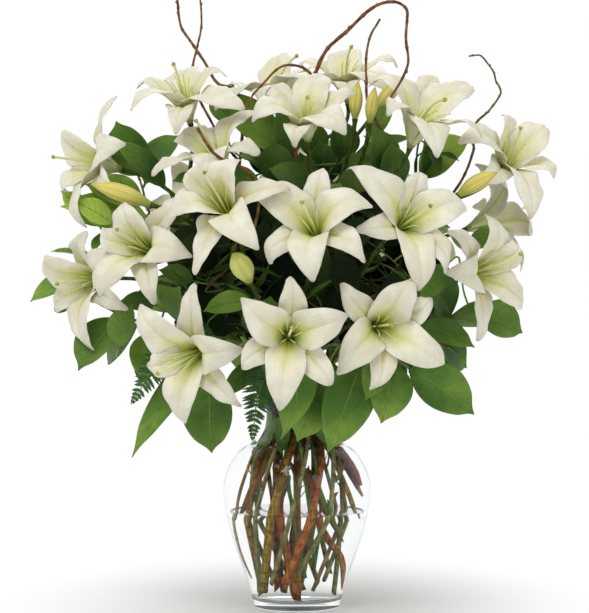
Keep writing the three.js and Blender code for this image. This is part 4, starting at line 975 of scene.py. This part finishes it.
leaf_parts = []
stem_parts = [part for stem in LILY_STEMS.values() for part in stem["parts"]]
for number, (name, spray) in enumerate(SALAL_SPRAYS.items()):
    draw = np.random.default_rng(300 + number)
    corners = node_points(f"salal_{name}")
    path = stem_path(spray)
    girth = spray["radius"] * (1 - 0.5 * np.linspace(0, 1, len(path)))
    stem_parts.append(tube(path, girth, slant=1.2, tone=0.75))
    make(f"stem_of_salal_{name}", stem_parts[-1:], bark, "twig")
    parts = []
    for at, tip, width, *own in spray["leaves"]:
        root = stem_curve(spray, on_crown(spray, at))
        tip = np.array(tip, float)
        face, side = leaf_frame(root, tip)
        end = settled_tip(root, tip, face, side, corners)
        if end is not None:
            tone = own[0] if own else draw.uniform(-0.15, 0.95)
            parts.append(broad_leaf(root, end, width, face, side, draw, bow=sum(own[1:]), tone=tone))
            bend = root + 0.05 * (end - root) + 0.6 * face
            stalk = bezier([root, bend, root + 0.13 * (end - root) + face], np.linspace(0, 1, 6))
            parts.append(tube(stalk, np.linspace(1.6, 1.1, 6), 8, tone=tone, upper=1.0))
    leaf_parts += parts
    make(f"leaves_of_salal_{name}", parts, leathery, "leaf", f"salal_{name}")

# Narrow lily leaves: soft lance-shaped blades that grow straight from the lily stems, a few on each. The
# stems, which have all their stalks by now, are finished here with them.
LANCE_REACH = 62
LANCE_RISE = 30
LANCE_WIDTH = 13
blade_green = Finish("lily_leaf", Roughness=0.45, Specular_IOR_Level=0.13)
lance_aside = blade_green.attribute("aside")
lines = (lance_aside * 28).wave()
dry_colour = blade_green.blend(blade_green.noise(90.0).step(0.35, 0.65), (88, 50, 26), (150, 84, 54))
# Blades inside the bunch and in the neck are blended towards near black, a painted shade.
blade_green.drive("Base Color", blade_green.layered(
    blade_green.blend(blade_green.attribute("tone"), (40, 74, 26), (96, 134, 48)),
    (lines * 0.2, (110, 150, 66)),
    (abs(lance_aside).step(0.1, 0.02) * 0.5, (130, 166, 84)),
    (blade_green.attribute("dry"), dry_colour),
    (blade_green.attribute("shade"), (4, 8, 5))))
blade_green.relief(lines, 0.0004)


def lance_leaf(root, tip, width, face, side, rows=22, columns=7, **values):
    """A narrow blade on an arched line, widest at a third of its length and drawn out to a point."""
    u, v = shares(rows, columns)
    middle = (root + tip) / 2 + 0.12 * np.linalg.norm(tip - root) * face
    line = bezier([root, middle, tip], u[:, 0])
    normal = unit(np.cross(side, np.gradient(line, axis=0)))
    half = np.maximum(0.35, width / 2 * np.sin(np.pi * (0.12 + 0.88 * u) ** 0.75) ** 0.8)
    return sheet(laid_out(line, side, normal, half * v, 0.3 * half * v ** 2), 0.5, **values)


for number, (name, stem) in enumerate(LILY_STEMS.items()):
    draw = np.random.default_rng(500 + number)
    corners = node_points(f"lily_stem_{name}")
    make(f"stalks_of_lily_stem_{name}", stem["parts"], stalk_green, "lily_stem", f"lily_stem_{name}")
    parts = []
    for k in range(stem["lances"]):
        root = stem_curve(stem, on_crown(stem, 0.1 + 0.8 * k / stem["lances"]))
        turn = 2.4 * k + stem["neck"][0]
        tip = root + np.array([LANCE_REACH * math.cos(turn), LANCE_REACH * math.sin(turn), LANCE_RISE])
        way = unit(tip - root)
        face = across(way, (0, 0, 1))
        side = np.cross(way, face)
        end = settled_tip(root, tip, face, side, corners)
        if end is not None:
            parts.append(lance_leaf(root, end, LANCE_WIDTH, face, side, tone=draw.uniform(0.2, 0.9)))
    if parts:
        make(f"narrow_leaves_of_lily_stem_{name}", parts, blade_green, "leaf")

# Willow: four curly twigs of red-brown bark with small buds at their bends. Two of them fork, and the one
# at the far right is greener and thinner. They stand in the water among the other stems.
KINK = 1.2
WILLOW_BUD = np.array([0.9, 1.0, 0.85, 0.65, 0.4, 0.1])
WILLOW_TWIGS = {
    "left": dict(
        neck=(156, OUTER_RING), foot=16, radius=2.6, tone=0.1,
        crown=[(-40, 20, 266), (-62, 44, 350), (-66, 66, 430), (-58, 58, 500), (-64, 40, 544),
               (-84, 36, 554), (-96, 38, 571), (-112, 40, 597), (-124, 42, 617), (-128, 42, 643),
               (-124, 44, 668), (-118, 44, 690)],
        branches=[[(-61, 62, 470), (-84, 66, 500), (-106, 64, 540), (-113, 60, 568), (-107, 58, 597),
                   (-102, 56, 622), (-105, 56, 650), (-112, 56, 678)]]),
    "center": dict(
        neck=(146, INNER_RING), foot=19, radius=2.8, tone=0.0,
        crown=[(-16, 14, 262), (-16, 0, 340), (-2, -14, 420), (-2, -32, 500), (8, -36, 535), (20, -36, 556),
               (33, -34, 584), (54, -30, 602), (73, -26, 621), (89, -24, 630), (106, -26, 630),
               (115, -28, 620), (112, -38, 592), (113, -54, 564), (102, -66, 538), (95, -70, 526)],
        branches=[[(8, -36, 535), (16, -42, 552), (3, -46, 562), (-20, -48, 559), (-41, -50, 537),
                   (-52, -52, 520)]]),
    "right": dict(
        neck=(56, INNER_RING), foot=15, radius=2.6, tone=0.05,
        crown=[(20, 20, 262), (50, 22, 340), (82, 4, 400), (104, -12, 440), (108, -18, 462), (99, -24, 482),
               (84, -30, 502), (74, -34, 525), (71, -34, 552), (73, -32, 580), (78, -30, 600),
               (86, -30, 613)],
        branches=[]),
    "far_right": dict(
        neck=(12, OUTER_RING), foot=21, radius=1.968, tone=0.3,
        crown=[(42, 10, 266), (92, 30, 340), (146, 30, 410), (174, 18, 450), (186, 14, 480), (183, 10, 497),
               (192, 8, 513), (204, 8, 523), (214, 8, 541), (210, 8, 555), (205, 8, 567), (194, 8, 579),
               (181, 8, 579)],
        branches=[]),
}


def kinked(path, draw):
    """A path bent a little at every tenth point: a small offset there, straight between them."""
    places = np.append(np.arange(0, len(path) - 5, 10), len(path) - 1)
    offset = draw.uniform(-KINK, KINK, (len(places), 3))
    offset[[0, -1]] = 0
    steps = np.arange(len(path))
    return path + np.stack([np.interp(steps, places, offset[:, k]) for k in range(3)], -1)


for number, (name, twig) in enumerate(WILLOW_TWIGS.items()):
    draw = np.random.default_rng(700 + number)
    path = kinked(stem_path(twig, steps=12), draw)
    share = np.linspace(0, 1, len(path))
    waves = 1 + 0.07 * np.sin(90 * share) + 0.05 * np.sin(213 * share)
    knots = 1 + 0.3 * (np.arange(len(path)) % 11 == 5)
    girth = twig["radius"] * (1 - 0.58 * share) * waves * knots
    parts = [tube(path, girth, 12, tone=twig["tone"])]
    routes = [(path[len(path) // 2:], girth[len(path) // 2:])]
    for branch in twig["branches"]:
        line = kinked(spline(branch, np.linspace(0, 1, 12 * len(branch))), draw)
        count = np.arange(len(line))
        thin = twig["radius"] * np.linspace(0.6, 0.34, len(line)) * (1 + 0.3 * (count % 10 == 4))
        parts.append(tube(line, thin * (1 + 0.08 * np.sin(count)), tone=twig["tone"]))
        routes.append((line, thin))
    for line, thick in routes:
        for place in draw.choice(len(line) - 8, len(line) // 12, replace=False) + 4:
            way = unit(line[place + 1] - line[place - 1])
            out = across(way, draw.normal(size=3))
            stretch = 0.9 * out * thick[place] + 3.4 * way + 1.3 * out
            bump = line[place] + np.outer(np.linspace(0, 1, len(WILLOW_BUD)), stretch)
            parts.append(tube(bump, WILLOW_BUD * 0.75 * thick[place] + 0.1, 8, tone=twig["tone"] + 0.1))
    stem_parts += parts
    make(f"twig_willow_{name}", parts, bark, "twig", f"willow_{name}")

# Ferns: dark fronds with narrow toothed leaflets in pairs along a thin rib, longest near the middle. Each
# arches out over the rim from a stalk in the water. The leaflets begin at a share of its crown.
FERNS = {
    "front": dict(
        neck=(264, INNER_RING), foot=44, radius=1.8, reach=20.8, start=0.42,
        crown=[(-3, -28, 264), (-4, -54, 267), (-20, -84, 258), (-38, -100, 230), (-45, -104, 180)]),
    "left": dict(
        neck=(222, INNER_RING), foot=34, radius=1.8, reach=23.92, start=0.45,
        crown=[(-21, -18, 264), (-42, -36, 273), (-92, -66, 284), (-136, -78, 262), (-168, -82, 216)]),
    "right": dict(
        neck=(310, INNER_RING), foot=42, radius=1.8, reach=23.92, start=0.45,
        crown=[(17, -22, 264), (37, -42, 272), (86, -54, 270), (132, -60, 252), (172, -54, 218)]),
}
LEAFLET_PAIRS = 26
LEAFLET_WIDTH = 4.4
frond_green = Finish("fern_leaflet", Roughness=0.5, Specular_IOR_Level=0.22)
frond_mottle = frond_green.noise(80.0).step(0.3, 0.7)
frond_rib = abs(frond_green.attribute("aside")).step(0.16, 0.04)
frond_green.drive("Base Color", frond_green.layered(
    frond_green.blend(frond_mottle, (24, 58, 26), (48, 92, 38)),
    (frond_green.attribute("tone"), frond_green.blend(frond_mottle, (92, 138, 50), (136, 174, 76))),
    (frond_rib * 0.4, (110, 138, 70))))
frond_green.relief(1 - frond_rib, 0.0004)


def leaflet(root, way, face, length, width, tone):
    """A narrow pointed blade whose half width is a leaned sine that a saw of six teeth cuts into."""
    u, v = shares(25, 5)
    tooth = 1 - 0.4 * ((6 * u) % 1)
    half = np.maximum(0.12, width / 2 * np.sin(np.pi * (0.14 + 0.86 * u) ** 0.75) ** 0.8 * tooth)
    line = root + (length * u) * way - (0.1 * length * u ** 2) * face
    place = laid_out(line, np.cross(way, face), way, half * v, 0.5 * half * np.abs(v))
    return sheet(place, 0.35, tone=tone)


def frond(line, reach, draw, tone):
    """Leaflets in pairs along a line. Each leans forward, and their reach is a sine that fades out."""
    tangents = unit(np.gradient(line, axis=0))
    leaflets = []
    for k in range(LEAFLET_PAIRS):
        share = (k + 0.5) / LEAFLET_PAIRS
        place = int(share * (len(line) - 1))
        face = across(tangents[place], (0, -1, 0.5))
        side = np.cross(tangents[place], face)
        length = reach * math.sin(math.pi * (0.28 + 0.72 * share)) + 1.5
        for hand in (-1, 1):
            way = unit(hand * side + 0.55 * tangents[place] - 0.1 * face + 0.05 * draw.normal(size=3))
            leaflets.append(leaflet(line[place], way, across(way, face), length, LEAFLET_WIDTH, tone))
    return leaflets


for number, (name, fern) in enumerate(FERNS.items()):
    draw = np.random.default_rng(800 + number)
    rib_path = stem_curve(fern, on_crown(fern, np.linspace(fern["start"], 1, 60)))
    lower = stem_path(fern, float(on_crown(fern, fern["start"])))
    stem_line = np.concatenate([lower[:-1], rib_path])
    parts = [tube(stem_line, np.linspace(fern["radius"], 0.5, len(stem_line)), 8, tone=0.1)]
    parts += frond(rib_path, fern["reach"], draw, 0.1)
    leaf_parts += parts[1:]
    make(f"frond_of_fern_{name}", parts, frond_green, "fern", f"fern_{name}")

# Loose salal leaves: single leaves on short stalks that close the gaps between the sprays where they show.
# Each has its root, tip, width, tone and painted shade, which is how far its colour is darkened towards
# black where it stands in shade. None of them crosses a petal, a stem or another leaf: one that would is
# moved aside and in depth until it has room.
LOOSE_LEAVES = [
    ((51, 10, 466), (42, 0, 512), 35, 0.05, 0.35),
    ((56, 6, 469), (125, -12, 494), 26, 0.15, 0.2),
    ((74, 20, 489), (101, 24, 530), 23, 0.2, 0.25),
    ((134, 10, 480), (148, 0, 450), 14, 0.1, 0.35),
    ((142, 4, 472), (168, -4, 464), 8, 0.1, 0.3),
    ((9, 0, 431), (3, 0, 477), 32, 0.1, 0.45),
    ((3, 4, 446), (-47, 0, 473), 36, 0.05, 0.4),
    ((-135, 24, 437), (-192, 6, 487), 28, 0.12, 0.2),
    ((-94, 6, 444), (-131, -6, 447), 25, 0.05, 0.35),
    ((-76, 50, 508), (-71, 56, 560), 38, 0.25, 0.15),
    ((-207, 10, 397), (-253, 14, 440), 23, 1.1, 0),
    ((-206, 10, 396), (-216, 6, 430), 18, 1.1, 0),
    ((-198, 10, 395), (-214, 0, 371), 16, 0.5, 0),
    ((-214, 0, 369), (-258, -6, 373), 8, 0.6, 0),
    ((-227, -4, 345), (-283, -20, 321), 28, 0.4, 0),
    ((-182, -44, 271), (-167, -52, 319), 32, 0.4, 0.05),
    ((-144, -24, 316), (-184, -30, 320), 21, 0.1, 0.3),
    ((-145, -56, 278), (-166, -70, 239), 28, 0.2, 0.15),
    ((122, -60, 299), (178, -72, 273), 28, 0.15, 0.2),
    ((155, -60, 360), (124, -72, 322), 25, 0.15, 0.15),
    ((157, -40, 390), (180, -60, 364), 18, 0.3, 0.1),
    ((182, -20, 374), (199, -30, 400), 19, 0.3, 0.05),
    ((27, -84, 246), (0, -108, 180), 44, 0.3, 0),
    ((14, -70, 262), (44, -100, 214), 34, 0.15, 0.3),
    ((-34, -60, 262), (-76, -92, 222), 22, 0.05, 0.3),
    ((-30, -60, 268), (-36, -84, 216), 30, 0.05, 0.45),
    ((66, -70, 262), (90, -96, 216), 36, 0.2, 0.15),
    ((-2, 20, 470), (-22, 10, 520), 34, 0.1, 0.35),
    ((20, 30, 470), (8, 24, 516), 34, 0.1, 0.4),
    ((90, 20, 450), (82, 10, 500), 36, 0.1, 0.3),
    ((-60, 20, 440), (-104, 6, 470), 34, 0.1, 0.3),
    ((60, 40, 450), (110, 20, 486), 30, 0.15, 0.2),
    ((-30, 40, 450), (-46, 24, 500), 36, 0.1, 0.4),
    ((30, 20, 440), (24, 14, 492), 36, 0.05, 0.45),
    ((-20, 10, 440), (-24, 4, 486), 36, 0.05, 0.45),
    ((100, 10, 430), (98, 0, 480), 34, 0.1, 0.35),
    ((-190, 0, 400), (-232, -6, 424), 26, 1.1, 0),
    ((-43, -84, 322), (-95, -96, 311), 24, 0.45, 0.05),
    ((-103, -60, 340), (-141, -64, 352), 20, 0.3, 0.35),
]


def search_tree(parts):
    """A search tree over the faces of some parts, to find what a new leaf would cross."""
    starts = np.cumsum([0] + [len(part["points"]) for part in parts])
    points = np.concatenate([part["points"] for part in parts])
    faces = [corners for part, start in zip(parts, starts) for face in part["faces"]
             for corners in (face + start).tolist()]
    return BVHTree.FromPolygons(points.tolist(), faces)


taken = [search_tree(parts) for parts in (petal_parts, leaf_parts, stem_parts)]


def fits(part):
    """Whether a new leaf crosses nothing that is there already. From then on it is there too."""
    tree = search_tree([part])
    if any(tree.overlap(other) for other in taken):
        return False
    taken.append(tree)
    return True


crown_lines = np.concatenate([
    stem_curve(stem, on_crown(stem, np.linspace(0, 1, 30)))
    for stem in [*LILY_STEMS.values(), *SALAL_SPRAYS.values()]])


def leaf_stalk(root, tip, **values):
    """A thin stalk from the nearest stem to a leaf's root, which it reaches along the leaf."""
    gaps = np.linalg.norm(crown_lines - root, axis=1)
    start = crown_lines[gaps.argmin()]
    bend = root - 0.5 * gaps.min() * unit(tip - root)
    route = bezier([start, (start + bend) / 2, bend, root + 0.12 * (tip - root)], np.linspace(0, 1, 14))
    return tube(route, np.linspace(1.2, 0.9, 14), 8, upper=1.0, **values)


draw = np.random.default_rng(900)
parts = []
for root, tip, width, tone, shade in LOOSE_LEAVES:
    for attempt in range(60):
        layer, place = divmod(attempt, 5)
        aside = 5 * min(place, 1) * np.array([math.cos(attempt), 0, math.sin(attempt)])
        shift = aside + [0, (6 + layer) * layer ** 0.6 * (-1) ** layer, 0]
        start, end = np.array(root) + shift, np.array(tip) + shift
        face, side = leaf_frame(start, end)
        leaf = broad_leaf(start, end, width, face, side, draw, tone=tone, shade=shade)
        if fits(leaf):
            parts += [leaf, leaf_stalk(start, end, tone=tone, shade=shade)]
            break
make("loose_salal_leaves", parts, leathery, "leaf")

# Inner foliage: the same leaves fill the middle of the bunch, where painted shade darkens them. Their tips
# are spread evenly by the golden angle over an oval inside the blooms. Those low at the front, behind the
# blooms, get the most painted shade and are nearly black.
HEART_CENTER = np.array([4, 4, 368.0])
HEART_SIZE = np.array([162, 112, 118.0])
HEART_LEAVES = 260
LOWEST = 262
PAINTED_SHADE_DEPTH = -10
PAINTED_SHADE_HEIGHT = 430
parts = []
for k in range(HEART_LEAVES):
    level = 1 - 2 * (k + 0.5) / HEART_LEAVES
    turn = k * math.pi * (3 - math.sqrt(5))
    flat = math.sqrt(1 - level ** 2)
    way = np.array([flat * math.cos(turn), flat * math.sin(turn), level])
    for attempt in range(8):
        tip = HEART_CENTER + HEART_SIZE * way * draw.uniform(0.6, 1.0)
        droop = across(unit(way), draw.normal(size=3) - np.array([0, 0, 0.4]))
        root = tip - (0.5 * unit(way) + 0.85 * droop) * draw.uniform(44, 72)
        if min(tip[2], root[2]) < LOWEST:
            continue
        face, side = leaf_frame(root, tip)
        deep = tip[1] < PAINTED_SHADE_DEPTH and tip[2] < PAINTED_SHADE_HEIGHT
        # Painted shade: nearly black for leaves low at the front, lighter for the others.
        shade = draw.uniform(0.82, 1.0) if deep else draw.uniform(0.2, 0.6)
        tone = draw.uniform(0.0, 0.4)
        leaf = broad_leaf(root, tip, draw.uniform(22, 34 if deep else 44), face, side, draw, 14, 7,
                          tone=tone, shade=shade)
        if fits(leaf):
            parts += [leaf, leaf_stalk(root, tip, tone=tone, shade=shade)]
            break
make("inner_foliage", parts, leathery, "leaf")

# Inner narrow leaves: lily leaves stick out between the blooms, green to dry, some darkened by painted
# shade.
# Those that show have their root, tip, width, tone, painted shade and dryness here; the rest grow from the
# stems inside the bunch, with painted shade drawn at random.
LOOSE_BLADES = [
    ((11, -52, 324), (40, -80, 344), 5.5, 1.0, 0.0, 0.0),
    ((56, -60, 352), (34, -80, 365), 5, 1.0, 0.0, 0.0),
    ((60, -52, 343), (82, -78, 356), 4.5, 0.8, 0.1, 0.0),
    ((78, -56, 352), (92, -76, 368), 4, 0.5, 0.3, 0.0),
    ((42, -50, 322), (52, -74, 355), 9, 0.3, 0.5, 0.0),
    ((25, -60, 312), (17, -84, 328), 5, 0.8, 0.2, 0.0),
    ((64, -54, 319), (76, -76, 345), 6, 0.4, 0.4, 0.0),
    ((97, -52, 334), (82, -78, 354), 6, 0.5, 0.4, 0.0),
    ((20, -56, 340), (-6, -76, 358), 4.5, 0.7, 0.3, 0.0),
    ((100, -50, 350), (112, -76, 338), 5, 0.7, 0.3, 0.0),
    ((-92, -56, 334), (-70, -80, 352), 5, 0.4, 0.1, 0.8),
    ((-110, -56, 330), (-128, -78, 352), 5, 0.8, 0.2, 0.0),
    ((-44, -56, 354), (-16, -78, 344), 5, 0.4, 0.4, 0.0),
    ((-36, -56, 330), (-60, -80, 340), 5, 0.6, 0.3, 0.0),
    ((-84, -56, 306), (-62, -84, 318), 5, 0.6, 0.2, 0.3),
    ((140, -40, 281), (165, -56, 268), 2.5, 0.6, 0.0, 0.9),
    ((146, -40, 262), (169, -56, 233), 6, 0.6, 0.0, 0.75),
]
NARROW_LEAVES = 260
ROOTS_ABOVE = 285
ROOTS_BELOW = 425
parts = []
for root, tip, width, tone, shade, dry in LOOSE_BLADES:
    for turn in range(16):
        shift = [0, 5 * turn * (-1) ** turn, 0]
        start, end = np.array(root) + shift, np.array(tip) + shift
        way = unit(end - start)
        face = across(way, (0.2, -1, 0.6))
        leaf = lance_leaf(start, end, width, face, np.cross(way, face), tone=tone, shade=shade, dry=dry)
        if fits(leaf):
            parts += [leaf, leaf_stalk(start, end, tone=0.3, shade=max(shade, 0.3))]
            break
inner_lines = crown_lines[(crown_lines[:, 2] > ROOTS_ABOVE) & (crown_lines[:, 2] < ROOTS_BELOW)]
front_lines = inner_lines[inner_lines[:, 1] < 0]
for k in range(NARROW_LEAVES):
    lines_there = front_lines if k % 3 else inner_lines
    for attempt in range(10):
        root = lines_there[draw.integers(len(lines_there))]
        way = unit(unit((root - HEART_CENTER) * [1, 1, 0.4]) * 0.7 + draw.normal(size=3) * 0.7)
        tip = root + way * draw.uniform(40, 92)
        if np.linalg.norm((tip - HEART_CENTER) / (HEART_SIZE * [1, 1, 0.85])) > 1:
            continue
        face = across(way, draw.normal(size=3) + np.array([0, -0.6, 1.0]))
        leaf = lance_leaf(root + 5 * way, tip, draw.uniform(4.5, 9), face, np.cross(way, face), 14, 5,
                          tone=draw.uniform(0.2, 1.0), shade=draw.uniform(-0.3, 0.8),
                          dry=draw.uniform(-1.5, 0.6))
        if fits(leaf):
            parts += [leaf, tube(np.linspace(root, root + 9 * way, 4), 0.8, 6, tone=0.3, shade=0.3)]
            break
make("inner_narrow_leaves", parts, blade_green, "leaf")

# Inner twigs: thin woody side twigs of the sprays run outwards between the leaves. One more hangs in an
# arch in front of the blooms at the upper left, as near to them as it can without touching a petal.
SIDE_TWIGS = 24
ARCH = [(-98, -96, 491), (-90, -96, 477), (-82, -95, 466), (-68, -92, 457), (-48, -84, 448),
        (-38, -66, 420), (-46, -60, 380)]
parts = []
for k in range(SIDE_TWIGS):
    for attempt in range(12):
        root = inner_lines[draw.integers(len(inner_lines))]
        end = HEART_CENTER + HEART_SIZE * unit(draw.normal(size=3) + [0, -0.8, 0]) * draw.uniform(0.7, 0.9)
        bend = (root + end) / 2 + draw.normal(size=3) * 12
        line = bezier([root, bend, end], np.linspace(0, 1, 16))
        twig = tube(line, np.linspace(1.3, 0.6, len(line)), 7, tone=0.3)
        tree = search_tree([twig])
        if end[2] > 270 and not any(tree.overlap(other) for other in taken[:2]):
            parts.append(twig)
            break
for shift in range(0, 60, 3):
    line = spline(ARCH, np.linspace(0, 1, 50)) - [0, shift, 0]
    if not search_tree([tube(line[:34], 1.7, 9)]).overlap(taken[0]):
        parts.append(tube(line, np.linspace(1.7, 1.5, 50), 9, tone=0.1))
        break
make("inner_twigs", parts, bark, "twig")

# Leaves in the neck: salal leaves caught upright between the stems and the glass of the neck, darkened a
# little by painted shade. Each has its turn round the vase in degrees, its top and its width.
NECK_LEAVES = [(-150, 206, 16), (-122, 200, 18), (-56, 208, 16), (-30, 240, 20), (10, 214, 18),
               (60, 236, 20), (110, 220, 18), (160, 236, 20), (200, 206, 18)]
WALL_GAP = 1.5
inner_wall = glass_wall(GLASS)


def wall_radius(height):
    """How far from the axis the inside of the glass is at a height."""
    return np.interp(height, inner_wall[:, 1], inner_wall[:, 0])


def neck_leaf(turn, top, width, drop):
    """A leaf along the inside of the glass: its points keep a small gap from the wall's radius."""
    u, v = shares(24, 9)
    height = top - drop * u + 0 * v
    radius = wall_radius(height) - WALL_GAP
    half = np.maximum(0.4, width / 2 * np.sin(np.pi * (0.1 + 0.9 * u) ** 0.8) ** 0.7)
    angle = math.radians(turn) + half * v / radius + 0.25 * u
    place = np.stack([radius * np.cos(angle), radius * np.sin(angle), height], -1)
    return sheet(place, 0.4, tone=0.0, shade=0.35)


draw = np.random.default_rng(950)
parts = [neck_leaf(turn, top, width, draw.uniform(34, 52)) for turn, top, width in NECK_LEAVES]
make("leaves_in_the_neck", parts, leathery, "leaf")

# Stripped leaves: torn stubs of blade stand along the stems in the vase, where the lower leaves were pulled
# off, and longer ones point down round the neck. Two whole blades hang into the water, one of them dried.
# The stubs are darkened by painted shade, the upright ones more the higher they stand in the neck.
STUBS = 240
DOWNWARD_STUBS = 200
LOWEST_STUB = 156
HIGHEST_STUB = 235
HANGING_BLADES = [((-26, -24, 166), (-44, -22, 132), (-61, -10, 92), 0.3, 0.75),
                  ((16, -30, 140), (25, -36, 108), (46, -30, 72), 1.0, 0.0)]
HANGING_WIDTH = 9


def stub_line(stem, at, ahead, lean, shortest, longest):
    """A stub's root, direction and length: it runs along its stem and leans away from it at random."""
    root = stem_curve(stem, at)
    way = unit(unit(stem_curve(stem, at + ahead) - root) + lean * across(unit(root), draw.normal(size=3)))
    return root, way, draw.uniform(shortest, longest)


parts = []
stems = [*LILY_STEMS.values(), *SALAL_SPRAYS.values()]
for k in range(STUBS):
    stem = stems[draw.integers(len(stems))]
    at = draw.uniform(0.14, 0.46) if k % 4 else draw.uniform(0.0, 0.14)
    root, way, length = stub_line(stem, at, 0.02, 0.55, 10, 26)
    tip = root + way * length * (1 if root[2] < 190 else 0.6)
    if math.hypot(tip[0], tip[1]) < wall_radius(tip[2]) - WALL_GAP and root[2] > WATER_HEIGHT + 4:
        face = across(way, draw.normal(size=3))
        parts.append(lance_leaf(root, tip, draw.uniform(3, 7), face, np.cross(way, face), 10, 5,
                                tone=draw.uniform(0, 0.6), dry=draw.uniform(0, 1),
                                shade=0.6 * float(smooth(root[2], 135, 185))))
for k in range(DOWNWARD_STUBS):
    stem = stems[draw.integers(len(LILY_STEMS)) if k % 2 else draw.integers(len(stems))]
    root, way, length = stub_line(stem, draw.uniform(0.14, 0.5), -0.02, 0.5, 18, 34)
    tip = root + way * length
    limit = min(wall_radius([root[2], tip[2]])) - WALL_GAP - 1
    if LOWEST_STUB < tip[2] and root[2] < HIGHEST_STUB and math.hypot(tip[0], tip[1]) < limit:
        face = across(way, root * [1, 1, 0] - [0, 0.1, 0])
        parts.append(lance_leaf(root, tip, draw.uniform(7, 12), face, np.cross(way, face), 10, 5,
                                tone=draw.uniform(0, 0.5), dry=draw.uniform(0, 1),
                                shade=draw.uniform(0.45, 0.8)))
for root, middle, tip, tone, dry in HANGING_BLADES:
    u, v = shares(30, 7)
    line = bezier([root, middle, tip], u[:, 0])
    tangent = unit(np.gradient(line, axis=0))
    side = across(tangent, (1, -0.3, 0))
    half = np.maximum(0.4, HANGING_WIDTH / 2 * np.sin(np.pi * (0.12 + 0.88 * u) ** 0.7) ** 0.5)
    blade = sheet(laid_out(line, side, np.cross(side, tangent), half * v, 0.35 * half * v ** 2), 0.6,
                  tone=tone, shade=0.0, dry=dry)
    if dry == 0:
        blade["values"]["dry"] = smooth(blade["values"]["aside"], 0.15, -0.15)
    parts.append(blade)
make("stripped_leaf_remains", parts, blade_green, "leaf")

# Green scraps: one fern leaflet hangs down inside the neck, and a few torn ones lie on the floor of the
# vase, where they sank.
SCRAPS = 9
parts = [leaflet(np.array([4, -31.6, 228.0]), unit((0.03, -0.02, -1)), unit((0.2, -1, 0)), 72, 12, 0.9)]
for k in range(SCRAPS):
    place = np.array([draw.uniform(6, 30), draw.uniform(-20, 6), FLOOR + 0.5])
    turn = draw.uniform(0, 2 * np.pi)
    way = np.array([math.cos(turn), math.sin(turn), 0])
    parts.append(leaflet(place, way, np.array([0, 0, 1.0]), draw.uniform(4, 9), 3, draw.uniform(0.1, 1)))
make("green_scraps", parts, frond_green, "leaf")

# Side shoots: five cut branches of the stems fan out under the neck to the glass. Each has its places from
# the neck down, its radius at both ends and its tone, and it tapers to a rounded tip.
SIDE_SHOOTS = [
    ([(22, -8, 194), (42, -12, 168), (55, -14, 150), (66, -13, 128)], (2.6, 4.6), 1.4),
    ([(22, 0, 190), (40, -3, 162), (56, -5, 138), (69, -5, 116)], (2.2, 2.8), 0.45),
    ([(20, -14, 186), (38, -20, 154), (52, -21, 124), (62, -19, 95)], (2.4, 2.8), 0.2),
    ([(-28, -14, 190), (-46, -16, 158), (-60, -14, 118), (-62, -12, 90), (-55, -10, 58), (-44, -8, 32)],
     (1.7, 1.7), 0.0),
    ([(12, -18, 140), (15, -20, 112), (28, -20, 78), (44, -16, 52), (45, -12, 20)], (4.0, 3.2), 0.65),
]
SHOOT_POINTS = 40
TIP_POINTS = 9
parts = []
for places, ends, tone in SIDE_SHOOTS:
    line = spline(places, np.linspace(0, 1, SHOOT_POINTS))
    girth = np.linspace(*ends, SHOOT_POINTS) * (1 + 0.04 * np.sin(np.arange(SHOOT_POINTS)))
    girth[-TIP_POINTS:] *= np.linspace(1, 0.12, TIP_POINTS) ** 0.45
    parts.append(tube(line, girth, 14, tone=tone))
make("side_shoots", parts, stalk_green, "lily_stem")

# Floor: a plain sheet far wider than the view. Away from the vase it is black and glows clean white, a
# painted glow in place of an over-lit studio sweep. Round the foot the glow fades out in an oval, which is
# a painted shadow pool, and there the pale lit sheet shows the soft shade of the bunch.
BLACK = (0, 0, 0, 1)
PALE = (0.8, 0.8, 0.8, 1)
WHITE = (1, 1, 1, 1)
pale = Finish("pale_floor", Base_Color=BLACK, Roughness=0.6, Specular_IOR_Level=0.0, Emission_Strength=1.0)
painted_glow_mask = pale.node("ShaderNodeVectorMath", {"operation": "LENGTH"}, pale.place((1.0, 0.68, 1.0)),
                output="Value").step(0.02, 0.34)
pale.drive("Base Color", pale.blend(painted_glow_mask, PALE, BLACK))
pale.drive("Emission Color", pale.blend(painted_glow_mask, BLACK, WHITE))
floor_mesh = bpy.data.meshes.new("floor")
floor_mesh.from_pydata([(-9, -5, 0), (9, -5, 0), (9, 30, 0), (-9, 30, 0)], [], [(0, 1, 2, 3)])
floor_mesh.materials.append(pale.material)
floor = bpy.data.objects.new("floor", floor_mesh)
bpy.context.collection.objects.link(floor)
